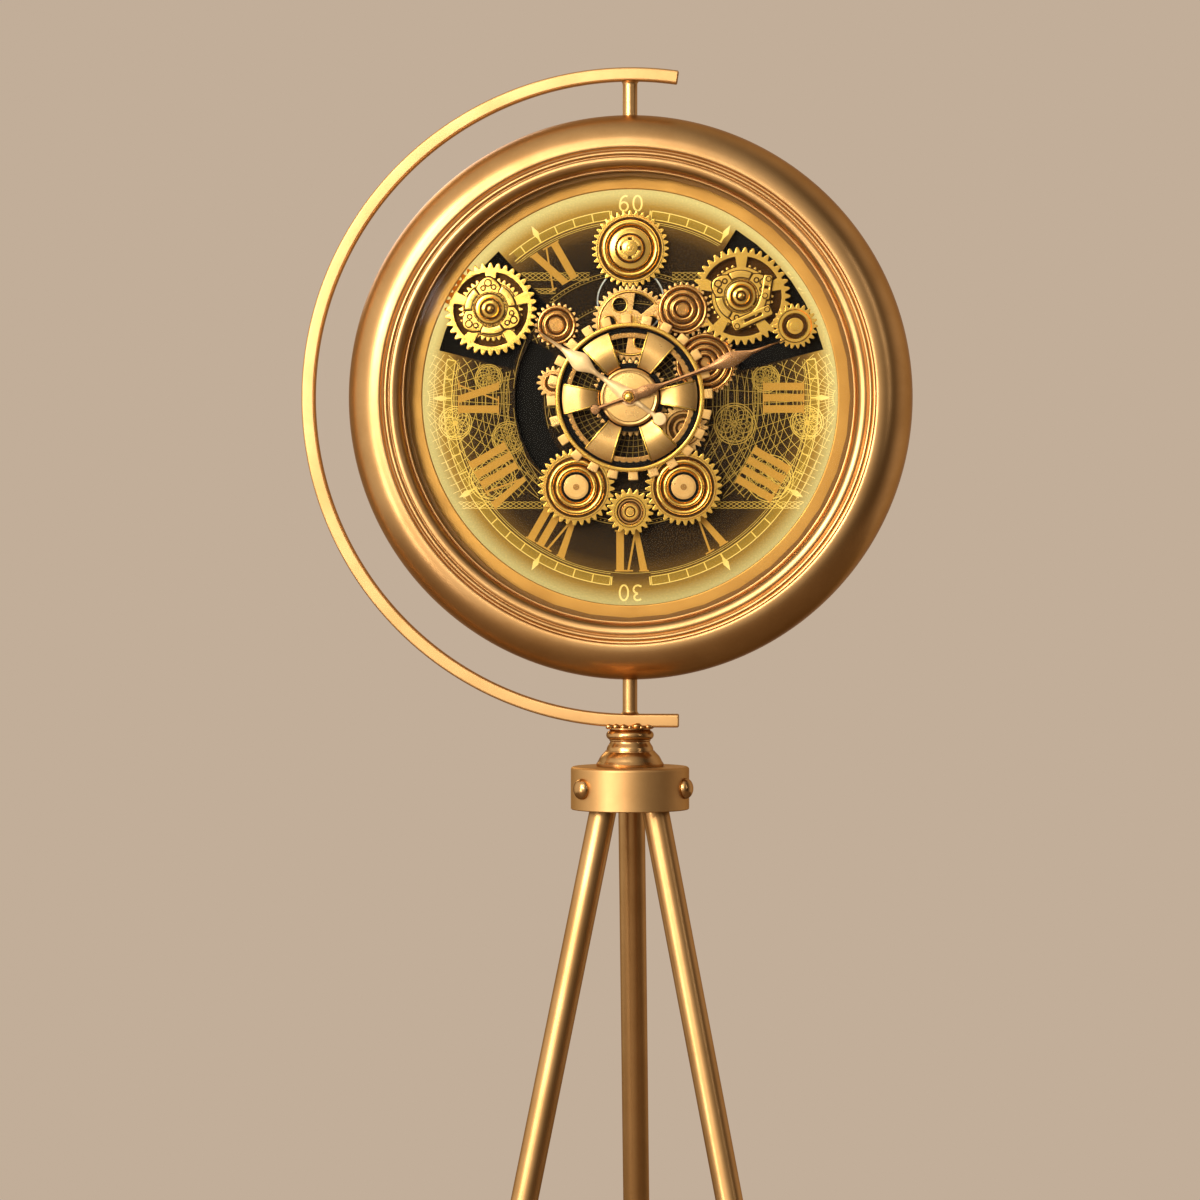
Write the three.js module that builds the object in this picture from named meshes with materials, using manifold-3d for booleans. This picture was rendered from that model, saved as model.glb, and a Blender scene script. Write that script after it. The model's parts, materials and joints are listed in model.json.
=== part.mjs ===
// Tripod floor clock: a round skeleton clock that swivels between two pins in a C-shaped arm on three legs.
// Millimetres, +Z up, dial facing -Y. The origin is on the floor, at the middle of the overall footprint.
// The model is drawn about the swivel axis (x = y = 0) and moved to that origin in the last lines.
// Inside the case, X is to the right, Y is up and Z is the depth towards the viewer, 0 at the swivel axis.

import * as THREE from "three";
import { mergeVertices } from "three/addons/utils/BufferGeometryUtils.js";
import Module from "manifold-3d";

const wasm = await Module();
wasm.setup();

const fit = 0.3;
const shaftFit = 0.3;

// Heights

const dialHeight = 1230;

// Arm

const armGap = 28;
const armThickness = 11;
const armDepth = 12;
const armTail = 40;
const armSteps = 40;

// Swivel pins and their bushes

const pinRadius = 6;
const lowerPinLength = 46;
const bushRadius = 10;
const bushEngagement = 15;
const thrustWall = 3.5;

// Neck, head cover, hub and their fasteners

const neckHeight = 31.4;
const neckBaseRadius = 27.5;
const neckWaistRadius = 16.3;
const neckBeadRadius = 19.4;
const coverRadius = 48.5;
const coverHeight = 35;
const coverTop = 3;
const coverWall = 2;
const coverEdge = 2.5;
const hubHeight = 24.4;
const tieBoltRadius = 4;
const tieBoltHeadRadius = 7;
const tieBoltHead = 6;
const tieBoltGrip = 17;
const coverBoltRadius = 3;
const coverBoltHeadRadius = 8.5;
const coverBoltDome = 6.5;
const coverBoltLength = 12;
const coverBoltDrop = 17;
const coverBoltTurn = 10;

// Legs and feet. A leg's azimuth is measured from the front, to the right.

const legRadius = 11;
const legWall = 1.5;
const legTilt = 12.8;
const legInset = 24.6;
const legSocketDepth = 23;
const footRadius = 13.5;
const footLength = 26;
const footSole = 5;
const legs = [
  { name: "front_left", azimuth: -60 },
  { name: "front_right", azimuth: 60 },
  { name: "rear", azimuth: 180 },
];

// Case shell

const shellBulge = 28;
const shellHalfDepth = 40;
const shellWall = 2;
const shellSteps = 36;
const bushBandWall = 4.5;
const bezelWidth = 8;
const bezelStepWidth = 2.4;
const bezelStepDrop = 1.8;
const bezelDrop = 1.4;
const coveWidth = 9;
const coveWall = 3.1;
const lipWidth = 3.5;
const lipDepth = 28;
const rearFlangeWidth = 13;

// Glass, gasket, liner and lights

const glassGap = 2;
const glassThickness = 3;
const glassDepth = 22.5;
const gasketWidth = 4;
const gasketThickness = 1.9;
const linerWall = 1.5;
const linerFit = 0.5;
const linerLap = 3;
const linerFlangeWidth = 15.5;
const linerFlangeDepth = 6;
const ledFit = 0.4;
const ledThickness = 2;
const ledLow = -8;
const ledHigh = 2;

// Dial, movement plate and back cover

const dialMargin = 15.895;
const dialThickness = 2;
const dialDepth = -14;
const movementPlateMargin = 13.5;
const movementPlateThickness = 1.5;
const movementPlateDepth = -20;
const pillarRadius = 4;
const pillarInset = 12;
const pillarAngles = [20, 160, 200, 340];
const backCoverThickness = 1.5;
const backCoverOverlap = 10;
const backScrewInset = 4;
const backScrewRadius = 1.6;
const backScrewHeadRadius = 3.2;
const backScrewLength = 4.5;
const backScrewAngles = [45, 135, 225, 315];
const windowMargin = 7;
const upperLeftWindowWidth = 63;
const upperRightWindowWidth = 71;
const innerWindowGap = 5;
const innerWindowWidth = 23;

// Time movement, light battery box, motor and their controls

const quartzSide = 56;
const quartzDepth = 16;
const cellRadius = 7;
const cellLength = 49;
const cellOffset = 17;
const knobRadius = 6;
const knobHeight = 4;
const knobOffset = 10;
const boxWidth = 66;
const boxHeight = 46;
const boxDepth = 17;
const boxDrop = 105;
const switchWidth = 7;
const switchHeight = 4;
const switchTravel = 4;
const switchOffset = 18;
const motorRadius = 12;
const motorLength = 17;
const motorGrip = 7;
const serviceGap = 4;

// Gears. Angles of teeth are measured from X towards Y. Depth ranges are the levels of the two trains.

const toothTop = 0.65;
const toothRoot = 1.35;
const toothTipShare = 0.09;
const gearThickness = 4;
const rearTrainDepth = -10.5;
const frontTrainDepth = -5;
const rearTrainModule = 1.7;
const frontTrainModule = 1.9;
const largeTeeth = 36;
const pinionTeeth = 23;
const centreTeeth = 58;
const lowerTeeth = 32;
const smallTeeth = 19;
const pinionClock = 120;
const lowerAngleGuess = 31;
const shaftRadius = 2.5;
const stemRadius = 6;
const postRadius = 4.2;
const idlerHoleRadius = 5.2;
const idlerHoleInset = 10.805;
const topDrumRadius = 22;
const topDrumHeight = 6.5;
const topHubRadius = 14;
const topHubHeight = 2.6;
const pinionDrumRadius = 9;
const pinionDrumHeight = 3.7;
const pinionTipRadius = 4;
const pinionTipHeight = 0.7;
const lowerDrumRadius = 22;
const lowerDrumHeight = 4.3;
const lowerCapRadius = 16.6;
const lowerCapHeight = 2.2;
const recessInner = 6;
const recessOuter = 11;
const recessDepth = 1.6;

// Centre wheel

const bushOuter = 5;
const bushBore = 3.2;
const bushFront = 8.5;
const crownDepth = 1;
const crownRimRadius = 61.2;
const crownRimInner = 57.4;
const crownRimHeight = 5;
const crownLedge = 4;
const crownLedgeThickness = 1;
const crownToothCount = 24;
const crownToothRadius = 68;
const crownToothThickness = 3;
const crownToothAngle = 7.3;
const crownPhaseClock = -2.5;
const hubDiscRadius = 24;
const hubGroove = 1.4;
const hubDiscFront = 8;
const bladeCount = 6;
const bladeAngle = 26;
const bladePhaseClock = 28.6;
const bladeOuterRadius = 55.3;
const bladeThickness = 2.4;
const ringWidth = 9;
const ringSpokeWidth = 6;

// Hands. Each outline is a list of shares of the hand's length and of its leaf's half width.

const hourClock = 305.85;
const minuteClock = 70;
const handThickness = 1.2;
const hourDepth = 10;
const minuteDepth = 13;
const handBossRadius = 7.5;
const hourPipeRadius = 2.9;
const hourPipeBore = 1.95;
const minuteShaftRadius = 1.6;
const handNutRadius = 4.5;
const handNutHeight = 3.2;
const hourLength = 95;
const hourLeaf = 7.8;
const hourOutline = [
  [0.084, 0.41], [0.295, 0.256], [0.379, 0.308], [0.505, 1], [0.61, 0.641], [0.737, 0.205], [1, 0.051],
];
const hourTail = 30.5;
const hourTailRadius = 5.7;
const minuteLength = 136;
const minuteLeaf = 6.4;
const minuteOutline = [
  [0.059, 0.469], [0.368, 0.297], [0.515, 0.375], [0.632, 1], [0.721, 0.656], [0.794, 0.234], [1, 0.063],
];
const minuteTail = 29.5;
const minuteTailRadius = 4.2;

// Fixed clusters beside the centre wheel: across and up are read from the centre to the right and upwards

const clusterModule = 2.05;
const clusterIdlerModule = 1.6;
const leftWheelTeeth = 36;
const rightWheelTeeth = 38;
const leftIdlerTeeth = 16;
const rightIdlerTeeth = 22;
const clusterWheelDepth = -9;
const clusterWheelThickness = 3;
const clusterRimWidth = 4;
const clusterHubRise = 1.7;
const clusterSpokeAngle = 22;
const leftIdlerDepth = -10;
const rightIdlerDepth = -5;
const clusterIdlerThickness = 3;
const leftBridgeRadius = 27;
const rightBridgeRadius = 25;
const bridgeThickness = 2;
const bridgeJewelRadius = 6.8;
const bridgeHoleRadius = 3.4;
const bridgeHoleCircle = 13.6;
const drumStep = 2;
const leftDrumRadius = 16.4;
const upperDrumRadius = 20.5;
const rightDrumRadius = 24.6;
const leftWheelAcross = -115;
const leftWheelUp = 73;
const rightWheelAcross = 91;
const rightWheelUp = 83;
const leftIdlerAcross = -63.4;
const leftIdlerUp = 12.4;
const rightIdlerAcross = 135;
const rightIdlerUp = 58.3;
const leftDrumAcross = -61;
const leftDrumUp = 60;
const upperDrumAcross = 43.2;
const upperDrumUp = 72.2;
const rightDrumAcross = 61.3;
const rightDrumUp = 28.8;

// Finishes

const antiqueGold = { color: 0xc9924a, roughness: 0.38, metalness: 0.9 };
const polishedGold = { color: 0xe9b54c, roughness: 0.2, metalness: 1 };
const satinGold = { color: 0xd9a764, roughness: 0.42, metalness: 0.9 };
const copperGold = { color: 0xb07838, roughness: 0.4, metalness: 0.9 };
const blackPaint = { color: 0x17140f, roughness: 0.7, metalness: 0 };
const blackRubber = { color: 0x1d1b19, roughness: 0.85, metalness: 0 };
const blackPlastic = { color: 0x222120, roughness: 0.5, metalness: 0 };
const zincSteel = { color: 0xb9b6ae, roughness: 0.35, metalness: 1 };
const brass = { color: 0xc79c4b, roughness: 0.3, metalness: 1 };
const clearGlass = { color: 0xf4f8f8, roughness: 0.03, metalness: 0 };
const warmLight = { color: 0xffdf95, roughness: 0.6, metalness: 0 };
const darkDial = { color: 0x2b2013, roughness: 0.55, metalness: 0.1 };

// Gear sizes, and how far apart two meshing gears stand

const pitchRadius = (teeth, module) => teeth * module / 2;
const tipRadius = (teeth, module) => pitchRadius(teeth, module) + toothTop * module;
const rootRadius = (teeth, module) => pitchRadius(teeth, module) - toothRoot * module;
const rearSpacing = pitchRadius(2 * largeTeeth, rearTrainModule);
const pinionSpacing = pitchRadius(largeTeeth + pinionTeeth, rearTrainModule);
const lowerSpacing = pitchRadius(centreTeeth + lowerTeeth, frontTrainModule);
const smallSpacing = pitchRadius(lowerTeeth + smallTeeth, frontTrainModule);

// Radii from the train outwards: dial opening, liner, lights, glass, bezel, shell, back cover and arm

const dialOpeningRadius = 2 * rearSpacing + tipRadius(largeTeeth, rearTrainModule) + dialMargin;
const linerRadius = dialOpeningRadius + linerFlangeWidth;
const linerInnerRadius = linerRadius - linerWall;
const ledRadius = linerInnerRadius - ledFit;
const bezelInnerRadius = linerRadius + linerFit;
const glassRadius = bezelInnerRadius - glassGap;
const lipRadius = bezelInnerRadius - lipWidth;
const bezelRadius = bezelInnerRadius + coveWidth;
const shellTubeRadius = bezelRadius + bezelWidth;
const shellRadius = shellTubeRadius + shellBulge;
const rearFlangeRadius = shellTubeRadius - rearFlangeWidth;
const backCoverRadius = rearFlangeRadius + backCoverOverlap;
const backScrewCircle = backCoverRadius - backScrewInset;
const movementPlateRadius = linerRadius - movementPlateMargin;
const pillarCircle = movementPlateRadius - pillarInset;
const armInnerRadius = shellRadius + armGap;
const armOuterRadius = armInnerRadius + armThickness;
const windowOuter = dialOpeningRadius - windowMargin;
const innerWindowInner = crownToothRadius + innerWindowGap;
const dialWindows = [
  { from: 284, to: 318, inner: windowOuter - upperLeftWindowWidth, outer: windowOuter },
  { from: 32, to: 76, inner: windowOuter - upperRightWindowWidth, outer: windowOuter },
  { from: 228, to: 300, inner: innerWindowInner, outer: innerWindowInner + innerWindowWidth },
];

// Other values that follow from those above

const tailBottom = dialHeight - armOuterRadius;
const tailTop = tailBottom + armThickness;
const neckBottom = tailBottom - fit - neckHeight;
const coverTopHeight = neckBottom - fit;
const coverBottom = coverTopHeight - coverHeight;
const hubTop = coverTopHeight - coverTop - fit;
const hubBottom = hubTop - hubHeight;
const hubRadius = coverRadius - coverWall - fit;
const coverBoltHeight = coverTopHeight - coverBoltDrop;
const tiltSlope = Math.tan(legTilt * Math.PI / 180);
const dialFront = dialDepth + dialThickness;
const stemFoot = dialFront + fit;
const movementPlateFront = movementPlateDepth + movementPlateThickness;
const shaftEnd = movementPlateDepth;
const backCoverFront = -shellHalfDepth - fit;
const backCoverRear = backCoverFront - backCoverThickness;
const worksFront = movementPlateDepth - fit;
const linerSkirtTop = glassDepth - fit - gasketThickness - fit;
const rearTrainFront = rearTrainDepth + gearThickness;
const frontTrainFront = frontTrainDepth + gearThickness;
const wheelBore = bushOuter + shaftFit;
const spokeDiscDepth = crownDepth + crownLedgeThickness + fit;

// Helpers

function solidOf(geometry) {
  const loose = geometry.index ? geometry.toNonIndexed() : geometry;
  const bare = new THREE.BufferGeometry();
  bare.setAttribute("position", loose.getAttribute("position"));
  const merged = mergeVertices(bare, 1e-4);
  const corners = merged.index.array;
  const kept = [];
  for (let i = 0; i < corners.length; i += 3) {
    const [a, b, c] = [corners[i], corners[i + 1], corners[i + 2]];
    if (a !== b && b !== c && c !== a) {
      kept.push(a, b, c);
    }
  }
  const mesh = new wasm.Mesh({
    numProp: 3,
    vertProperties: merged.attributes.position.array,
    triVerts: new Uint32Array(kept),
  });
  return new wasm.Manifold(mesh);
}

function geometryOf(solid) {
  const mesh = solid.getMesh();
  const geometry = new THREE.BufferGeometry();
  geometry.setAttribute("position", new THREE.BufferAttribute(Float32Array.from(mesh.vertProperties), 3));
  geometry.setIndex(new THREE.BufferAttribute(Uint32Array.from(mesh.triVerts), 1));
  geometry.computeVertexNormals();
  return geometry;
}

function profileArea(profile) {
  return profile.reduce((sum, [r, z], i) => {
    const [nextR, nextZ] = profile[(i + 1) % profile.length];
    return sum + r * nextZ - nextR * z;
  }, 0);
}

// Turns a profile of radius and height about Z. A profile off the axis is closed on itself.
function turned(profile, segments) {
  const ordered = profileArea(profile) > 0 ? [...profile] : [...profile].reverse();
  if (Math.min(...ordered.map(([r]) => r)) > 0) {
    ordered.push(ordered[0]);
  }
  const points = ordered.map(([r, z]) => new THREE.Vector2(r, z));
  return solidOf(new THREE.LatheGeometry(points, segments).rotateX(Math.PI / 2));
}

function disc(radius, low, high, segments, x = 0, y = 0) {
  return turned([[0, low], [radius, low], [radius, high], [0, high]], segments).translate([x, y, 0]);
}

function ring(inner, outer, low, high, segments) {
  return turned([[inner, low], [outer, low], [outer, high], [inner, high]], segments);
}

function block(width, height, low, high, x = 0, y = 0) {
  const geometry = new THREE.BoxGeometry(width, height, high - low);
  return solidOf(geometry.translate(x, y, (low + high) / 2));
}

function plate(shape, low, high) {
  const geometry = new THREE.ExtrudeGeometry(shape, { depth: high - low, bevelEnabled: false });
  return solidOf(geometry.translate(0, 0, low));
}

// A place on the dial, from a radius and an angle in degrees clockwise from the top.
function atClock(radius, degrees) {
  const angle = degrees * Math.PI / 180;
  return [radius * Math.sin(angle), radius * Math.cos(angle)];
}

function sectorShape(inner, outer, from, to, steps) {
  const points = [];
  for (let i = 0; i <= steps; i += 1) {
    points.push(new THREE.Vector2(...atClock(outer, from + (to - from) * i / steps)));
  }
  for (let i = steps; i >= 0; i -= 1) {
    points.push(new THREE.Vector2(...atClock(inner, from + (to - from) * i / steps)));
  }
  return new THREE.Shape(points.reverse());
}

const parts = new THREE.Group();
const dialGroup = new THREE.Group();
dialGroup.rotation.x = Math.PI / 2;
dialGroup.position.z = dialHeight;
parts.add(dialGroup);

function add(group, name, solid, finish) {
  const mesh = new THREE.Mesh(geometryOf(solid), new THREE.MeshStandardMaterial(finish));
  mesh.name = name;
  group.add(mesh);
  return mesh;
}

// Gear outlines and how two of them mesh
function gearBlank(teeth, module, phase, low, high) {
  const step = 2 * Math.PI / teeth;
  const tip = tipRadius(teeth, module);
  const root = rootRadius(teeth, module);
  const corners = [[root, -0.5], [tip, -toothTipShare], [tip, toothTipShare]];
  const points = [];
  for (let k = 0; k < teeth; k += 1) {
    for (const [radius, share] of corners) {
      const angle = phase + (k + share) * step;
      points.push(new THREE.Vector2(radius * Math.cos(angle), radius * Math.sin(angle)));
    }
  }
  return plate(new THREE.Shape(points), low, high);
}

// The tooth angle of a second gear that meshes with a first one in the given direction.
function meshPhase(firstTeeth, firstPhase, secondTeeth, direction) {
  const step = 2 * Math.PI / secondTeeth;
  const firstTurn = firstTeeth * (direction - firstPhase) / (2 * Math.PI);
  return direction + Math.PI - step * (0.5 - firstTurn);
}

// Where a piece on the dial plate stands: a stem down to the plate and a shaft through both plates.
function stemAndShaft(top) {
  return disc(stemRadius, stemFoot, top, 12).add(disc(shaftRadius, shaftEnd, stemFoot + 1, 8));
}

// Steps of a polished drum, each with its radius and height.
function stepped(low, steps, segments = 20) {
  const profile = [[0, low]];
  let height = low;
  for (const [radius, rise] of steps) {
    profile.push([radius, height], [radius, height + rise]);
    height += rise;
  }
  profile.push([0, height]);
  return turned(profile, segments);
}

// Places of the two trains

const up = Math.PI / 2;
const centrePhase = up;

// The small gear meshes with both lower gears, so they stand at the angle that puts its teeth in line.
function lowerLayout(angle) {
  const across = lowerSpacing * Math.sin(angle);
  const down = lowerSpacing * Math.cos(angle);
  const drop = Math.sqrt(smallSpacing ** 2 - across ** 2);
  const leftPhase = meshPhase(centreTeeth, centrePhase, lowerTeeth, -up - angle);
  const smallPhase = meshPhase(lowerTeeth, leftPhase, smallTeeth, Math.atan2(-drop, across));
  return { across, down, smallDown: down + drop, leftPhase, smallPhase };
}

function halfTeethAtTop(angle) {
  return smallTeeth * (lowerLayout(angle).smallPhase + up) / Math.PI;
}

function solveLowerAngle() {
  const guess = lowerAngleGuess * Math.PI / 180;
  const target = Math.round(halfTeethAtTop(guess));
  let angle = guess;
  for (let i = 0; i < 30; i += 1) {
    const nudge = 1e-5;
    const slope = (halfTeethAtTop(angle + nudge) - halfTeethAtTop(angle)) / nudge;
    angle -= (halfTeethAtTop(angle) - target) / slope;
  }
  return angle;
}

const lower = lowerLayout(solveLowerAngle());
const [pinionX, pinionY] = atClock(pinionSpacing, pinionClock);
const pinionDirection = Math.atan2(pinionY, pinionX);
const idlerPhase = meshPhase(largeTeeth, centrePhase, largeTeeth, up);
const topPhase = meshPhase(largeTeeth, idlerPhase, largeTeeth, up);
const pinionPhase = meshPhase(largeTeeth, centrePhase, pinionTeeth, pinionDirection);

const shaftPlaces = [
  [0, rearSpacing],
  [0, 2 * rearSpacing],
  [pinionX, pinionY],
  [-lower.across, -lower.down],
  [lower.across, -lower.down],
  [0, -lower.smallDown],
];

// Stand: legs and feet

function legFrame(azimuth) {
  const angle = azimuth * Math.PI / 180;
  const outward = new THREE.Vector3(Math.sin(angle), -Math.cos(angle), 0);
  const tilt = new THREE.Matrix4().makeRotationAxis(
    new THREE.Vector3(0, 0, 1).cross(outward).negate(),
    legTilt * Math.PI / 180,
  );
  const floorPoint = outward.multiplyScalar(legInset + coverBottom * tiltSlope);
  return tilt.setPosition(floorPoint);
}

// A round bar or hole along a leg's axis, between two distances from the floor point.
function alongLeg(azimuth, radius, from, to, segments = 20) {
  const geometry = geometryOf(disc(radius, from, to, segments));
  return solidOf(geometry.applyMatrix4(legFrame(azimuth)));
}

const footEnd = footRadius * tiltSlope;
const legStart = footEnd + footSole;
const legEnd = hubBottom / Math.cos(legTilt * Math.PI / 180) + legSocketDepth - legRadius * tiltSlope;

function addLegs() {
  for (const { name, azimuth } of legs) {
    const tube = alongLeg(azimuth, legRadius, legStart, legEnd);
    const bore = alongLeg(azimuth, legRadius - legWall, legStart - 1, legEnd + 1);
    add(parts, `leg_${name}`, tube.subtract(bore), antiqueGold);
    const cap = alongLeg(azimuth, footRadius, -footEnd - 1, footLength);
    const socket = alongLeg(azimuth, legRadius + fit, legStart - fit, footLength + 1);
    const below = block(8 * dialHeight, 8 * dialHeight, -footRadius * 2, 0);
    add(parts, `foot_${name}`, cap.subtract(socket).subtract(below), blackRubber);
  }
}

// Stand: hub, cover, neck and bolts

const coverBoltAzimuths = [
  { name: "left", azimuth: -60 + coverBoltTurn },
  { name: "right", azimuth: 60 + coverBoltTurn },
  { name: "rear", azimuth: 180 + coverBoltTurn },
];

// A bar that points straight out from the swivel axis at a height, between two distances from the axis.
function outwardBar(profile, azimuth, segments) {
  const geometry = geometryOf(turned(profile, segments));
  geometry.rotateX(Math.PI / 2);
  geometry.rotateZ(azimuth * Math.PI / 180);
  return solidOf(geometry.translate(0, 0, coverBoltHeight));
}

function coverBolt(azimuth) {
  const seat = coverRadius + fit;
  const end = seat - coverBoltLength;
  const profile = [[0, end], [coverBoltRadius, end], [coverBoltRadius, seat]];
  for (let i = 0; i < 4; i += 1) {
    const angle = i / 4 * Math.PI / 2;
    profile.push([coverBoltHeadRadius * Math.cos(angle), seat + coverBoltDome * Math.sin(angle)]);
  }
  profile.push([0, seat + coverBoltDome]);
  return outwardBar(profile, azimuth, 12);
}

function coverBoltHole(azimuth) {
  const hole = coverBoltRadius + 2 * fit;
  const start = coverRadius - coverBoltLength - fit;
  return outwardBar([[0, start], [hole, start], [hole, coverRadius + 5], [0, coverRadius + 5]], azimuth, 10);
}

function addHead() {
  const tieHole = disc(tieBoltRadius + fit, 0, tailTop + lowerPinLength, 16);
  let hub = disc(hubRadius, hubBottom, hubTop, 24).subtract(disc(tieBoltRadius + fit, 0, dialHeight, 16));
  const inner = coverRadius - coverWall;
  let cover = turned([
    [0, coverTopHeight],
    [coverRadius - coverEdge, coverTopHeight],
    [coverRadius, coverTopHeight - coverEdge],
    [coverRadius, coverBottom],
    [inner, coverBottom],
    [inner, coverTopHeight - coverTop],
    [0, coverTopHeight - coverTop],
  ], 30);
  cover = cover.subtract(tieHole);
  for (const { azimuth } of legs) {
    hub = hub.subtract(alongLeg(azimuth, legRadius + fit, legStart, legEnd + fit));
  }
  for (const { name, azimuth } of coverBoltAzimuths) {
    hub = hub.subtract(coverBoltHole(azimuth));
    cover = cover.subtract(coverBoltHole(azimuth));
    add(parts, `cover_bolt_${name}`, coverBolt(azimuth), antiqueGold);
  }
  add(parts, "leg_hub", hub, blackPaint);
  add(parts, "hub_cover", cover, antiqueGold);
  add(parts, "neck", neck().subtract(tieHole), antiqueGold);
  const boltTop = tailTop + tieBoltGrip;
  const bolt = disc(tieBoltHeadRadius, hubBottom - fit - tieBoltHead, hubBottom - fit, 6);
  add(parts, "tie_bolt", bolt.add(disc(tieBoltRadius, hubBottom - fit - 1, boltTop, 16)), zincSteel);
}

function neck() {
  const shares = [
    [neckBaseRadius, 0], [neckBaseRadius, 0.06], [neckBaseRadius * 0.82, 0.24], [neckWaistRadius + 2, 0.4],
    [neckWaistRadius + 1, 0.52], [neckWaistRadius, 0.62], [neckBeadRadius, 0.78], [neckBeadRadius, 0.92],
    [neckBeadRadius - 1.8, 1],
  ];
  const profile = shares.map(([radius, share]) => [radius, neckBottom + share * neckHeight]);
  return turned([[0, neckBottom], ...profile, [0, neckBottom + neckHeight]], 24);
}

// Stand: arm and pins

function armShape() {
  const overhang = Math.asin(armTail / armOuterRadius);
  const points = [];
  const start = up - overhang;
  const sweep = Math.PI + overhang;
  for (let i = 0; i <= armSteps; i += 1) {
    const angle = start + sweep * i / armSteps;
    points.push(new THREE.Vector2(armOuterRadius * Math.cos(angle), armOuterRadius * Math.sin(angle)));
  }
  points.push(new THREE.Vector2(armTail, -armOuterRadius), new THREE.Vector2(armTail, -armInnerRadius));
  for (let i = armSteps; i >= 0; i -= 1) {
    const angle = start + sweep * i / armSteps;
    points.push(new THREE.Vector2(armInnerRadius * Math.cos(angle), armInnerRadius * Math.sin(angle)));
  }
  return new THREE.Shape(points);
}

// The bushes seat on a flat band inside the shell, which a turned ring's facets bring a little closer.
const bushBandRadius = shellRadius - bushBandWall;
const bushSeat = bushBandRadius - bushRadius * Math.tan(Math.PI / shellSteps) - fit;
const upperPinTop = dialHeight + Math.sqrt(armInnerRadius ** 2 - pinRadius ** 2) - fit;
const upperPinBottom = dialHeight + bushSeat - bushEngagement;
const lowerPinTop = tailTop + fit + lowerPinLength;

function addArm() {
  const bar = plate(armShape(), -armDepth / 2, armDepth / 2);
  const standing = geometryOf(bar).rotateX(Math.PI / 2).translate(0, 0, dialHeight);
  const bolt = disc(tieBoltRadius + fit, tailBottom - 1, tailTop + 1, 16);
  add(parts, "arm", solidOf(standing).subtract(bolt), antiqueGold);
  const lowerPin = disc(pinRadius, tailTop + fit, lowerPinTop, 20);
  const thread = disc(tieBoltRadius + fit, tailTop, tailTop + tieBoltGrip + fit, 16);
  add(parts, "lower_pin", lowerPin.subtract(thread), antiqueGold);
  add(parts, "upper_pin", disc(pinRadius, upperPinBottom, upperPinTop, 20), antiqueGold);
}

// Case: shell and what closes it

function shellProfile() {
  const outer = [];
  for (let i = 0; i <= 8; i += 1) {
    const angle = (i / 8 - 0.5) * Math.PI;
    outer.push([shellTubeRadius + shellBulge * Math.cos(angle), shellHalfDepth * Math.sin(angle)]);
  }
  const front = shellHalfDepth;
  const moulding = [
    [bezelRadius + bezelStepWidth, front - bezelStepDrop],
    [bezelRadius, front - bezelDrop],
    [bezelInnerRadius, lipDepth],
    [lipRadius, lipDepth],
    [lipRadius, glassDepth + glassThickness + fit],
  ];
  const seatRadius = linerRadius + fit;
  const seat = [
    [seatRadius, glassDepth + glassThickness + fit],
    [seatRadius, linerSkirtTop - linerLap],
    [bezelInnerRadius + shellWall, linerSkirtTop - linerLap],
    [bezelRadius + shellWall, front - bezelDrop - coveWall],
  ];
  const innerDepth = shellHalfDepth - shellWall;
  const shoulder = [
    shellTubeRadius + (shellBulge - shellWall) * Math.cos(up / 2), innerDepth * Math.sin(up / 2),
  ];
  const band = bushRadius + 2;
  const inner = [
    [shellTubeRadius, innerDepth], shoulder, [bushBandRadius, band],
    [bushBandRadius, -band], [shoulder[0], -shoulder[1]], [shellTubeRadius, -innerDepth],
  ];
  const flange = [[rearFlangeRadius, -front + shellWall], [rearFlangeRadius, -front]];
  return [...outer, ...moulding, ...seat, ...inner, ...flange];
}

function pinHoleThroughShell() {
  const hole = geometryOf(disc(pinRadius + 2 * shaftFit, -2 * shellRadius, 2 * shellRadius, 20));
  return solidOf(hole.rotateX(-Math.PI / 2));
}

function backScrewHoles(radius, low, high) {
  return backScrewAngles.map((degrees) => disc(radius, low, high, 10, ...atClock(backScrewCircle, degrees)));
}

function addShell() {
  let shell = turned(shellProfile(), shellSteps).subtract(pinHoleThroughShell());
  let cover = disc(backCoverRadius, backCoverRear, backCoverFront, shellSteps);
  const flangeInside = -shellHalfDepth + shellWall;
  for (const hole of backScrewHoles(backScrewRadius + fit, backCoverRear - 1, flangeInside + 1)) {
    shell = shell.subtract(hole);
    cover = cover.subtract(hole);
  }
  const opening = 2 * serviceGap;
  cover = cover.subtract(
    block(quartzSide + opening, quartzSide + opening, backCoverRear - 1, backCoverFront + 1));
  cover = cover.subtract(
    block(boxWidth + opening, boxHeight + opening, backCoverRear - 1, backCoverFront + 1, 0, -boxDrop));
  add(dialGroup, "case_shell", shell, antiqueGold);
  add(dialGroup, "back_cover", cover, blackPaint);
  backScrewAngles.forEach((degrees, index) => {
    const [x, y] = atClock(backScrewCircle, degrees);
    const head = disc(backScrewHeadRadius, backCoverRear - fit - 1.8, backCoverRear - fit, 12, x, y);
    const shank = disc(backScrewRadius, backCoverRear - fit - 1, backCoverRear + backScrewLength, 10, x, y);
    add(dialGroup, `back_cover_screw_${index + 1}`, head.add(shank), zincSteel);
  });
}

function bushSolid(low, high, boreLow, boreHigh) {
  const bush = disc(bushRadius, low, high, 20).subtract(disc(pinRadius + shaftFit, boreLow, boreHigh, 20));
  return solidOf(geometryOf(bush).rotateX(-Math.PI / 2));
}

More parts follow.
